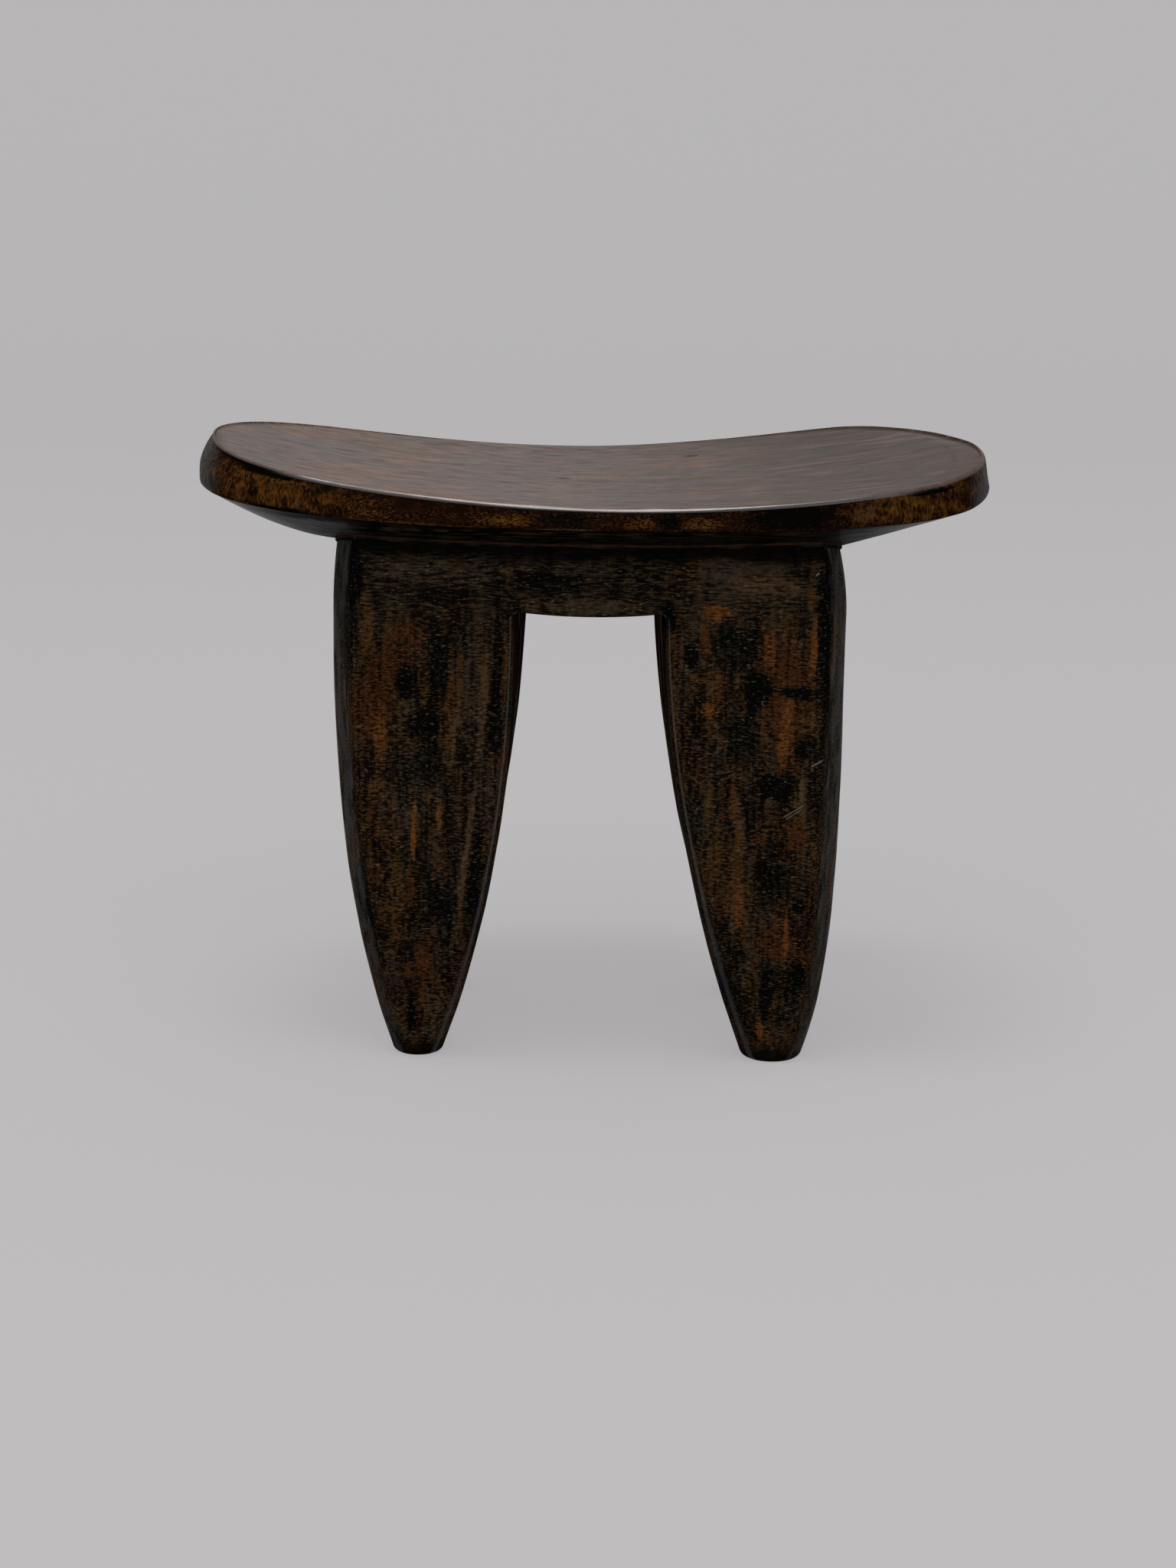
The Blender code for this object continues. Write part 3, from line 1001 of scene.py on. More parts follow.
@dataclass(frozen=True)
class RimSkin:
    """The rim: gold fibres at the ends, red-brown specks between, streaky tips painted with a grey
    reflection, black on top.
    """

    marks: tuple[Mark, ...] = ()
    end_drift: Grain = Grain((0.0300, 0.0300, 0.0300), 35.0, reach=0.020)
    speckle: Grain = Grain((0.0019, 0.0012, 0.0008), 30.0, 3.0)
    mottle: Grain = Grain((0.0052, 0.0052, 0.0070), 31.0, 4.0)
    fibre: Grain = Grain((0.0011, 0.0011, 0.0032), 41.0, 3.0)
    cloud: Grain = Grain((0.0160, 0.0160, 0.0060), 33.0, shown=(0.40, 0.62))
    ragged: Grain = Grain((0.0080, 0.0080, 0.0040), 34.0, reach=0.8)
    shade: Grain = Grain((0.0060, 0.0060, 0.0030), 32.0, shown=(0.42, 0.62))
    tip_hair: Grain = Grain((0.0014, 0.0014, 0.0100), 39.0, 4.0)
    black_drift: Grain = Grain((0.0120, 0.0120, 0.0060), 36.0, reach=0.05)
    gold_from: Span = (0.105, 0.175)
    fibre_weight: float = 0.6
    mottle_weight: float = 0.4
    least_cover: float = 0.25
    cover_gain: float = 0.30
    fleck_reach: float = 0.28
    flecks_shown: Span = (0.54, 0.75)
    ground_from: Span = (-0.1, 0.35)
    ground_least: float = 0.2
    ground_gain: float = 0.6
    shaded: float = 0.45
    tips_from: Span = (0.212, 0.230)
    sheen_shown: Span = (0.46, 0.62)
    hair_shown: Span = (0.36, 0.56)
    tip_sheen: float = 0.85
    black_to: Span = (1.18, 1.27)
    spared_from: Span = (0.145, 0.175)
    spared: float = 0.6

    def tips(self, bench: WoodBench) -> Wire:
        """Return where the rim's tips lie, from 0 to 1."""
        return abs(bench.x).ramp(*self.tips_from)

    def colour(self, bench: WoodBench, band: Wire) -> Wire:
        """Work out the rim's colour.

        Args:
            bench: The material's bench.
            band: Where a point lies on the way out and down.

        Returns:
            The colour.
        """
        ends = abs(bench.x + bench.wander(self.end_drift)).ramp(*self.gold_from)
        speckle = bench.pattern(self.speckle)
        fibre = bench.pattern(self.fibre) * self.fibre_weight
        fibre = fibre + bench.pattern(self.mottle) * self.mottle_weight
        pattern = speckle + (fibre - speckle) * ends
        cloud = bench.patch(self.cloud)
        ragged = bench.wander(self.ragged)
        middle = bench.mixed(cloud, Tone.RUST, Tone.UMBER)
        bare = bench.mixed(ends, middle, bench.mixed(cloud, Tone.RUST, Tone.GOLD))
        cover = cloud * self.cover_gain + self.least_cover
        for mark in self.marks:
            bare, cover = mark.laid(bench, bare, cover, band, ragged)
        shade = bench.patch(self.shade)
        flecks = (pattern + cover * self.fleck_reach).ramp(*self.flecks_shown)
        stain = (shade * self.ground_gain + self.ground_least) * cover.ramp(*self.ground_from)
        ground = bench.mixed(stain, Tone.PITCH, Tone.UMBER)
        colour = bench.mixed(flecks, ground, bench.mixed(shade * self.shaded, bare, Tone.UMBER))
        tips = self.tips(bench)
        hair = bench.pattern(self.tip_hair)
        # Painted reflection: the streaky tips are greyed for the pale surroundings that their turned ends
        # reflect
        grey = bench.mixed(hair.ramp(*self.sheen_shown), Tone.OLIVE, Tone.REFLECTION_GREY)
        worn = bench.mixed(hair.ramp(*self.hair_shown), Tone.PITCH, grey)
        colour = bench.mixed(tips * self.tip_sheen, colour, worn)
        upper = 1 - (band + bench.wander(self.black_drift)).ramp(*self.black_to)
        black = upper * (1 - tips) * (1 - bench.x.ramp(*self.spared_from) * self.spared)
        return bench.mixed(black, colour, Tone.PITCH)


@dataclass(frozen=True)
class UndersideSkin:
    """The underside: dark, ochre near the rim, painted grey reflection at the ends, with a worn line on the
    ledge's lip.
    """

    edge_drift: Grain = Grain((0.0120, 0.0120, 0.0060), 40.0, reach=0.06)
    lip_break: Grain = Grain((0.0120, 0.0120, 0.0120), 37.0, shown=(0.36, 0.56))
    lip_drift: Grain = Grain((0.0250, 0.0250, 0.0250), 38.0, reach=0.15)
    soot_shown: Span = (0.44, 0.64)
    soot: float = 0.7
    ochre_to: Span = (2.0, 2.35)
    ochre_shown: Span = (0.44, 0.58)
    ochre: float = 0.8
    sheen_from: Span = (0.125, 0.165)
    sheen_to: Span = (2.9, 3.1)
    sheen_shown: Span = (0.35, 0.60)
    sheen_least: float = 0.4
    sheen_gain: float = 0.6
    dark_to: Span = (2.06, 2.20)
    dark: float = 0.85
    lip_level: float = 3.20
    lip_to: Span = (0.26, 0.08)
    lip_least: float = 0.3
    lip_gain: float = 0.7
    lip_wear: float = 0.65

    def colour(self, bench: WoodBench, band: Wire, fine: Wire) -> Wire:
        """Work out the underside's colour.

        Args:
            bench: The material's bench.
            band: Where a point lies on the way out and down.
            fine: The fine grain.

        Returns:
            The colour.
        """
        colour = bench.mixed(fine.ramp(*self.soot_shown) * self.soot, Tone.PITCH, Tone.SOOT)
        upper = 1 - band.ramp(*self.ochre_to)
        colour = bench.mixed(upper * fine.ramp(*self.ochre_shown) * self.ochre, colour, Tone.OCHRE)
        # Painted reflection: the underside's ends are greyed for the floor and backdrop that they reflect
        # at a low angle
        ends = abs(bench.x).ramp(*self.sheen_from) * (1 - band.ramp(*self.sheen_to))
        grey = fine.ramp(*self.sheen_shown) * self.sheen_gain + self.sheen_least
        colour = bench.mixed(ends * grey, colour, Tone.REFLECTION_GREY)
        edge = band + bench.wander(self.edge_drift)
        colour = bench.mixed((1 - edge.ramp(*self.dark_to)) * self.dark, colour, Tone.PITCH)
        level = band + bench.wander(self.lip_drift)
        lip = abs(level - self.lip_level).ramp(*self.lip_to)
        lip = lip * (bench.patch(self.lip_break) * self.lip_gain + self.lip_least)
        return bench.mixed(lip * self.lip_wear, colour, Tone.RUST)


@dataclass(frozen=True)
class SeatFinish:
    """Seat: a handled grey-brown saddle, a dark rim mottled with gold and a smooth underside."""

    saddle: SaddleSkin
    rim: RimSkin
    underside: UndersideSkin = UndersideSkin()
    grain: Grain = Grain((0.0900, 0.0100, 0.0700), 21.0, 3.0, (0.44, 0.68))
    fine_grain: Grain = Grain((0.0150, 0.0024, 0.0200), 22.0, 4.0, (0.44, 0.64))
    grain_weight: float = 0.26
    fine_weight: float = 0.70
    grain_relief: float = 0.5
    rim_from: Span = (1.07, 1.15)
    underside_from: Span = (1.90, 2.04)
    arris_from: Span = (0.990, 1.02)
    arris_to: Span = (1.16, 1.22)
    shine_to: Span = (0.190, 0.165)
    ends_from: Span = (0.140, 0.215)
    saddle_coat: float = 0.30
    under_coat: float = 0.03
    end_coat: float = 0.4
    tip_coat: float = 0.15
    dullness: float = 0.52
    grain_dullness: float = 0.10
    relief: float = 0.00030

    def material(self, name: str, seat: "SaddleSeat") -> bpy.types.Material:
        """Build the material.

        Args:
            name: Its name.
            seat: The seat that wears it.

        Returns:
            The material.
        """
        bench = WoodBench(name)
        band = bench.stored("band")
        grain = bench.pattern(self.grain)
        fine = bench.pattern(self.fine_grain)
        lines = grain.ramp(*self.grain.shown) * self.grain_weight
        lines = lines + fine.ramp(*self.fine_grain.shown) * self.fine_weight
        over = band.ramp(*self.rim_from)
        below = band.ramp(*self.underside_from)
        saddle = self.saddle.colour(bench, seat, band, lines)
        colour = bench.mixed(over, saddle, self.rim.colour(bench, band))
        colour = bench.mixed(below, colour, self.underside.colour(bench, band, fine))
        arris = band.ramp(*self.arris_from) * (1 - band.ramp(*self.arris_to))
        ends = abs(bench.x).ramp(*self.ends_from)
        coat = (1 - over) * self.saddle_coat + arris * abs(bench.x).ramp(*self.shine_to)
        coat = coat + below * (ends * self.end_coat + self.under_coat)
        coat = coat + self.rim.tips(bench) * over * (1 - below) * self.tip_coat
        roughness = self.dullness + fine * self.grain_dullness
        height = grain * self.grain_relief + fine * (1 - self.grain_relief)
        return bench.dress(colour, roughness, coat.call("MINIMUM", 1.0), height * (1 - arris), self.relief)


@dataclass
class ApronBlock:
    """The block under the seat, from the leg tops up to the ledge."""

    centre: Vector
    half_length: float
    half_depth: float
    leg_top: float
    height: float = 0.0383
    corner: float = 0.0170
    corner_cut: float = 0.0034
    draft: float = 0.0022
    draft_right: float = 0.0026
    bow: float = 0.0020
    opening: float = 0.0830
    inner_flare: float = 0.0024
    arch_round: float = 0.0020
    arch_ease: float = 0.0060
    ledge_end_drop: float = 0.0120
    ledge_corner_rise: float = 0.0050
    spokes: int = 480
    side_rings: int = 28
    arch_rings: int = 5
    join_shares: tuple[float, ...] = (0.97, 0.85, 0.60, 0.30)
    soffit_shares: tuple[float, ...] = (0.98, 0.93, 0.86, 0.78, 0.70, 0.60, 0.50, 0.38, 0.25, 0.12)
    carving: HandCarving = HandCarving()

    @classmethod
    def from_frame(cls) -> "ApronBlock":
        """Read the block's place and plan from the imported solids.

        Returns:
            The block.
        """
        low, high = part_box("apron")
        leg_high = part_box("leg_front_left")[1]
        centre = Vector(((low.x + high.x) / 2, (low.y + high.y) / 2, 0))
        return cls(centre, (high.x - low.x) / 2, (high.y - low.y) / 2, leg_high.z)

    @property
    def join_level(self) -> float:
        """The level at which block and legs meet."""
        return self.leg_top + JOIN_GAP / 2

    @property
    def ledge_level(self) -> float:
        """The height of the ledge at the middle of the front."""
        return self.leg_top + self.height

    def angles(self) -> list[float]:
        """Return the directions of the spokes on which block and seat are lofted."""
        return [math.tau * spoke / self.spokes for spoke in range(self.spokes)]

    def ledge_height(self, x: float, y: float) -> float:
        """Work out the height at which seat and block meet.

        Args:
            x: The place along X from the block's centre.
            y: The place along Y from there.

        Returns:
            The height.
        """
        end_share = (x / self.half_length) ** 2
        side_share = (y / self.half_depth) ** 2
        gain = self.ledge_end_drop + self.ledge_corner_rise * end_share
        return self.ledge_level - self.ledge_end_drop + gain * side_share

    def side(self, angle: float, grow: float) -> tuple[Vector, Vector]:
        """Find the block's side in one direction.

        Args:
            angle: The direction, from +X towards +Y.
            grow: How far the side stands out from the block's lower plan.

        Returns:
            The point on the side and its outward direction, both in plan.
        """
        along = math.cos(angle)
        across = math.sin(angle)
        half_length = self.half_length + grow
        half_depth = self.half_depth + grow
        core_length = half_length - self.corner
        core_depth = half_depth - self.corner
        if half_length * abs(across) <= core_depth * abs(along):
            way = Vector((math.copysign(1, along), 0, 0))
            return Vector((along, across, 0)) * (half_length / abs(along)), way
        if half_depth * abs(along) <= core_length * abs(across):
            way = Vector((0, math.copysign(1, across), 0))
            return Vector((along, across, 0)) * (half_depth / abs(across)), way
        reach = abs(along) * core_length + abs(across) * core_depth
        square = reach ** 2 - core_length ** 2 - core_depth ** 2 + self.corner ** 2
        point = Vector((along, across, 0)) * (reach + math.sqrt(square))
        core = Vector((math.copysign(core_length, along), math.copysign(core_depth, across), 0))
        return point, (point - core).normalized()

    def edge(self, angle: float, share: float, inset: float) -> Vector:
        """Find the block's own side, whose corners are cut back to facets.

        Args:
            angle: The direction, from +X towards +Y.
            share: The share of the way up the side.
            inset: How far the point lies inside the side.

        Returns:
            The point on the side, in plan.
        """
        point, way = self.side(angle, -inset - self.draft * share ** 2)
        cut = self.corner_cut * (2 * way.x * way.y) ** 2
        lean = self.draft_right * share ** 2 * max(0.0, point.x / self.half_length) ** 4
        return point - way * cut - Vector((lean, 0, 0))

    def join_point(self, angle: float, share: float) -> Vector:
        """Return a point of the face where seat and block meet, a share of the way out to its edge."""
        point = self.edge(angle, 1.0, 0.0) * share
        return self.centre + point + Vector((0, 0, self.ledge_height(point.x, point.y)))

    def arch_share(self, point: Vector) -> float:
        """Tell how fully a point lies in the arch between two legs.

        Args:
            point: A point on the block's side, from its centre.

        Returns:
            From 0 to 1.
        """
        if abs(point.y) <= abs(point.x):
            return 0.0
        reach = self.opening / 2 - math.copysign(self.inner_flare, point.y)
        return ease(reach - abs(point.x), 0.0, self.arch_ease)

    def soffit_drop(self, x: float) -> float:
        """Return how far the lower face sags between the legs."""
        share = abs(x) / (self.opening / 2 - self.inner_flare)
        return self.bow * max(0.0, 1 - share ** 2)

    def loft(self) -> Loft:
        """Loft the block from the middle of its lower face up its sides to the face under the seat.

        Returns:
            The rings.
        """
        made = Loft()
        angles = self.angles()
        foot = [self.edge(angle, 0.0, 0.0) for angle in angles]
        rounds = [self.arch_round * self.arch_share(point) for point in foot]
        for share in reversed(self.soffit_shares):
            ring = []
            for point in foot:
                spot = point * share
                level = self.join_level - self.soffit_drop(spot.x)
                ring.append(self.centre + Vector((spot.x, spot.y, level)))
            made.add(ring, Rise.SOFFIT, 0.0)
        for turn in range(self.arch_rings):
            lean = QUARTER_TURN * turn / self.arch_rings
            ring = []
            for angle, radius, point in zip(angles, rounds, foot):
                spot = self.edge(angle, 0.0, radius * (1 - math.sin(lean)))
                level = self.join_level - self.soffit_drop(point.x) + radius * (1 - math.cos(lean))
                ring.append(self.centre + Vector((spot.x, spot.y, level)))
            made.add(ring, Rise.FOOT, 1.0)
        for level in range(self.side_rings + 1):
            share = level / self.side_rings
            ring = []
            for angle, radius, point in zip(angles, rounds, foot):
                spot = self.edge(angle, share, 0.0)
                top = self.ledge_height(spot.x, spot.y)
                bottom = self.join_level - self.soffit_drop(point.x) + radius
                ring.append(self.centre + Vector((spot.x, spot.y, bottom + (top - bottom) * share)))
            made.add(ring, share, 1.0)
        for share in self.join_shares:
            made.add([self.join_point(angle, share) for angle in angles], Rise.JOIN, 0.0)
        return made

    def build(self, tree: CarvingTree, material: bpy.types.Material) -> bpy.types.Object:
        """Loft, carve and place the block.

        Args:
            tree: The carving tree.
            material: The block's finish.

        Returns:
            The finished piece.
        """
        ways = [self.side(angle, 0.0)[1] for angle in self.angles()]
        low_tip = self.centre + Vector((0, 0, self.join_level - self.bow))
        top_tip = self.join_point(0.0, 0.0)
        mesh = self.loft().mesh("carved_apron", "rise", low_tip, top_tip, lambda spot, normal: ways[spot])
        piece = tree.carve("carved_apron", mesh, self.carving, material)
        finish_mesh(piece)
        place_piece(piece, "apron")
        return piece


@dataclass
class SaddleSeat:
    """The seat: a saddle top, a leaning rim, a boat-shaped underside and the ledge over the block."""

    block: ApronBlock
    half_length: float
    half_depth: float = 0.1420
    end_squareness: float = 6.20
    front_squareness: float = 2.84
    back_squareness: float = 1.93
    right_broadening: float = 0.060
    underside_rise: float = 0.0143
    rim_height: float = 0.0134
    saddle_rise: float = 0.0240
    saddle_curve: float = 1.95
    saddle_dish: float = 0.0030
    twist: float = 0.0021
    back_lift_right: float = 0.0038
    rim_lean: float = 0.30
    rim_end_rise: float = 0.0118
    rim_end_curve: float = 2.4
    arris: float = 0.0021
    arris_flat: float = 1.75
    arris_spared: float = 0.70
    spared_from: Span = (0.80, 1.0)
    spared_to: Span = (1.6, 1.2)
    end_upright: float = 0.45
    end_curve: float = 4.0
    end_fullness: float = 0.40
    left_lean: float = 0.85
    left_tip_upright: float = 0.38
    left_bulge: float = 2.0
    right_slope: float = 0.0040
    right_slope_front: float = 0.30
    right_arris: float = 0.0035
    right_slope_from: Span = (0.66, 0.96)
    right_slope_turn: Span = (-0.20, 0.30)
    upright_turn: Span = (-0.30, 0.05)
    lean_turn: Span = (-0.20, 0.35)
    left_tip_from: Span = (0.85, 1.0)
    back_lift_fade: int = 4
    crease: float = 0.935
    under_round: float = 0.25
    under_tuck: float = 0.60
    belly_left: float = 0.0042
    belly_right: float = 0.0006
    ledge_overhang: float = 0.0025
    ledge_lip: float = 0.0020
    lip_steps: tuple[float, ...] = (0.25, 0.6, 1.0)
    lip_carve: float = 0.5
    top_rings: int = 44
    top_crowding: float = 0.9
    arris_rings: int = 6
    rim_rings: int = 10
    under_rings: int = 6
    underside_rings: int = 20
    halvings: int = 40
    carving: HandCarving = HandCarving(wave_depth=0.0010, wave_length=0.090, stroke=(0.45, 1.0, 1.0))

    @classmethod
    def from_frame(cls, block: ApronBlock) -> "SaddleSeat":
        """Read the seat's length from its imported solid, for a seat on this block."""
        low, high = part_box("seat")
        return cls(block, (high.x - low.x) / 2)

    @property
    def rim_level(self) -> float:
        """The height of the rim's lower arris at the middle of the front."""
        return self.block.ledge_level + self.underside_rise

    def rim_radius(self, angle: float) -> float:
        """Find the rim in one direction by halving.

        Args:
            angle: The direction, from +X towards +Y.

        Returns:
            The distance from the seat's centre.
        """
        along = math.cos(angle)
        across = math.sin(angle)
        squareness = self.back_squareness if across > 0 else self.front_squareness
        near = 0.0
        far = 2 * math.hypot(self.half_length, self.half_depth)
        for _ in range(self.halvings):
            middle = (near + far) / 2
            end_share = middle * along / self.half_length
            breadth = self.half_depth * (1 + self.right_broadening * end_share)
            side_share = middle * across / breadth
            reach = abs(end_share) ** self.end_squareness + abs(side_share) ** squareness
            near, far = (near, middle) if reach > 1 else (middle, far)
        return near

    def saddle_height(self, x: float, y: float, inward: float) -> float:
        """Work out the height of the top.

        Args:
            x: The place along X.
            y: The place along Y.
            inward: 0 at the centre and 1 at the rim.

        Returns:
            The height.
        """
        end_share = x / self.half_length
        side_share = y / self.half_depth
        height = self.rim_level + self.rim_height + self.saddle_rise * abs(end_share) ** self.saddle_curve
        lift = max(0.0, end_share) * (1 - end_share ** self.back_lift_fade) * max(0.0, side_share)
        height += self.back_lift_right * lift
        return height + self.twist * end_share * side_share - self.saddle_dish * (1 - inward ** 2)

    def right_drop(self, angle: float) -> float:
        """Work out how far the worn slope around the right end falls, least in front.

        Args:
            angle: The spoke's direction.

        Returns:
            The fall at the rim.
        """
        end_share = self.rim_radius(angle) * math.cos(angle) / self.half_length
        turned = ease(math.sin(angle), *self.right_slope_turn)
        share = self.right_slope_front + (1 - self.right_slope_front) * turned
        return self.right_slope * share * ease(end_share, *self.right_slope_from)

    def section(self, angle: float) -> list[tuple[float, float, float]]:
        """Return the rim's section in one direction.

        Args:
            angle: The spoke's direction.

        Returns:
            Radius, height and band of each point, from the top arris to the lower arris.
        """
        outer = self.rim_radius(angle)
        along = math.cos(angle)
        end_share = outer * along / self.half_length
        top = self.saddle_height(outer * along, outer * math.sin(angle), 1)
        bottom = self.rim_level + self.rim_end_rise * abs(end_share) ** self.rim_end_curve
        end_weight = abs(end_share) ** self.end_curve
        left = end_weight * (end_share < 0)
        turn = self.under_round * (top - bottom) * (1 - self.end_fullness * left)
        tuck = self.under_tuck * turn
        upright = self.end_upright * (end_weight - left) * ease(-math.sin(angle), *self.upright_turn)
        slant = self.left_lean * left * ease(-math.sin(angle), *self.lean_turn)
        slant -= self.left_tip_upright * ease(-along, *self.left_tip_from)
        lean = self.rim_lean * (1 + slant - upright) * (top - bottom - turn)
        bulge = 1 + self.left_bulge * left
        flat = 1 + (self.arris_flat - 1) * (1 - end_weight)
        right_end = ease(end_share, *self.right_slope_from)
        arris = self.arris + (self.right_arris - self.arris) * right_end
        arris = min(arris, (top - bottom - turn) / 2)
        top -= self.right_drop(angle)
        points = []
        for step in range(self.arris_rings):
            share = step / self.arris_rings
            bend = QUARTER_TURN * share
            radius = outer - lean - arris * (1 - math.sin(bend) ** flat)
            level = top - arris * (1 - math.cos(bend) ** flat)
            points.append((radius, level, Band.ARRIS + (Band.RIM - Band.ARRIS) * share))
        for step in range(self.rim_rings):
            share = step / self.rim_rings
            level = top - arris + (bottom + turn - top + arris) * share
            radius = outer - lean * (1 - share) ** bulge
            points.append((radius, level, Band.RIM + (Band.ROUND - Band.RIM) * share))
        for step in range(self.under_rings + 1):
            share = step / self.under_rings
            bend = QUARTER_TURN * share
            radius = outer - tuck * (1 - math.cos(bend))
            level = bottom + turn * (1 - math.sin(bend))
            points.append((radius, level, Band.ROUND + (Band.UNDERSIDE - Band.ROUND) * share))
        return points

    def carve_share(self, band: float) -> float:
        """Return the share of the carving's depth on a band: shallower close to the arris."""
        return 1 - self.arris_spared * ease(band, *self.spared_from) * ease(band, *self.spared_to)

    def ledge_point(self, angle: float) -> Vector:
        """Find the lip of the ledge in one direction; it stands out at front and back.

        Args:
            angle: The spoke's direction.

        Returns:
            The point in the stool's frame.
        """
        overhang = self.ledge_overhang * (1 - math.cos(angle) ** 2)
        point = self.block.edge(angle, 1.0, -overhang)
        level = self.block.ledge_height(point.x, point.y) + self.ledge_lip
        return self.block.centre + Vector((point.x, point.y, level))

    def loft(self) -> Loft:
        """Loft the seat from the middle of its top, over the rim and under to the join face.

        Returns:
            The rings.
        """
        made = Loft()
        angles = self.block.angles()
        sections = [self.section(angle) for angle in angles]
        drops = [self.right_drop(angle) for angle in angles]
        for step in range(1, self.top_rings):
            inward = math.sin(QUARTER_TURN * step / self.top_rings) ** self.top_crowding
            sloping = max(0.0, (inward - self.crease) / (1 - self.crease))
            ring = []
            for angle, section, drop in zip(angles, sections, drops):
                x = inward * section[0][0] * math.cos(angle)
                y = inward * section[0][0] * math.sin(angle)
                ring.append(Vector((x, y, self.saddle_height(x, y, inward) - drop * sloping)))
            made.add(ring, inward, self.carve_share(inward))
        for level in range(len(sections[0])):
            ring = []
            for angle, section in zip(angles, sections):
                radius, height, _ = section[level]
                ring.append(Vector((radius * math.cos(angle), radius * math.sin(angle), height)))
            made.add(ring, sections[0][level][2], self.carve_share(sections[0][level][2]))
        rim = made.rings[-1]
        ledge = [self.ledge_point(angle) for angle in angles]
        for step in range(1, self.underside_rings + 1):
            share = step / self.underside_rings
            ring = []
            for angle, edge, lip in zip(angles, rim, ledge):
                belly = self.belly_left if math.cos(angle) < 0 else self.belly_right
                sag = 4 * share * (1 - share) * belly * abs(math.cos(angle))
                ring.append(edge.lerp(lip, share) - Vector((0, 0, sag)))
            made.add(ring, Band.UNDERSIDE + share, 1.0)
        for drop in self.lip_steps:
            shift = Vector((0, 0, drop * self.ledge_lip))
            made.add([lip - shift for lip in ledge], Band.LIP + drop, self.lip_carve)
        for share in (1.0, *self.block.join_shares):
            made.add([self.block.join_point(angle, share) for angle in angles], Band.JOIN, 0.0)
        return made

    def build(self, tree: CarvingTree, material: bpy.types.Material) -> bpy.types.Object:
        """Loft, carve and place the seat.

        Args:
            tree: The carving tree.
            material: The seat's finish.

        Returns:
            The finished piece.
        """
        top_tip = Vector((0, 0, self.saddle_height(0, 0, 0)))
        mesh = self.loft().mesh("carved_seat", "band", top_tip, self.block.join_point(0.0, 0.0))
        piece = tree.carve("carved_seat", mesh, self.carving, material)
        finish_mesh(piece)
        place_piece(piece, "seat")
        return piece


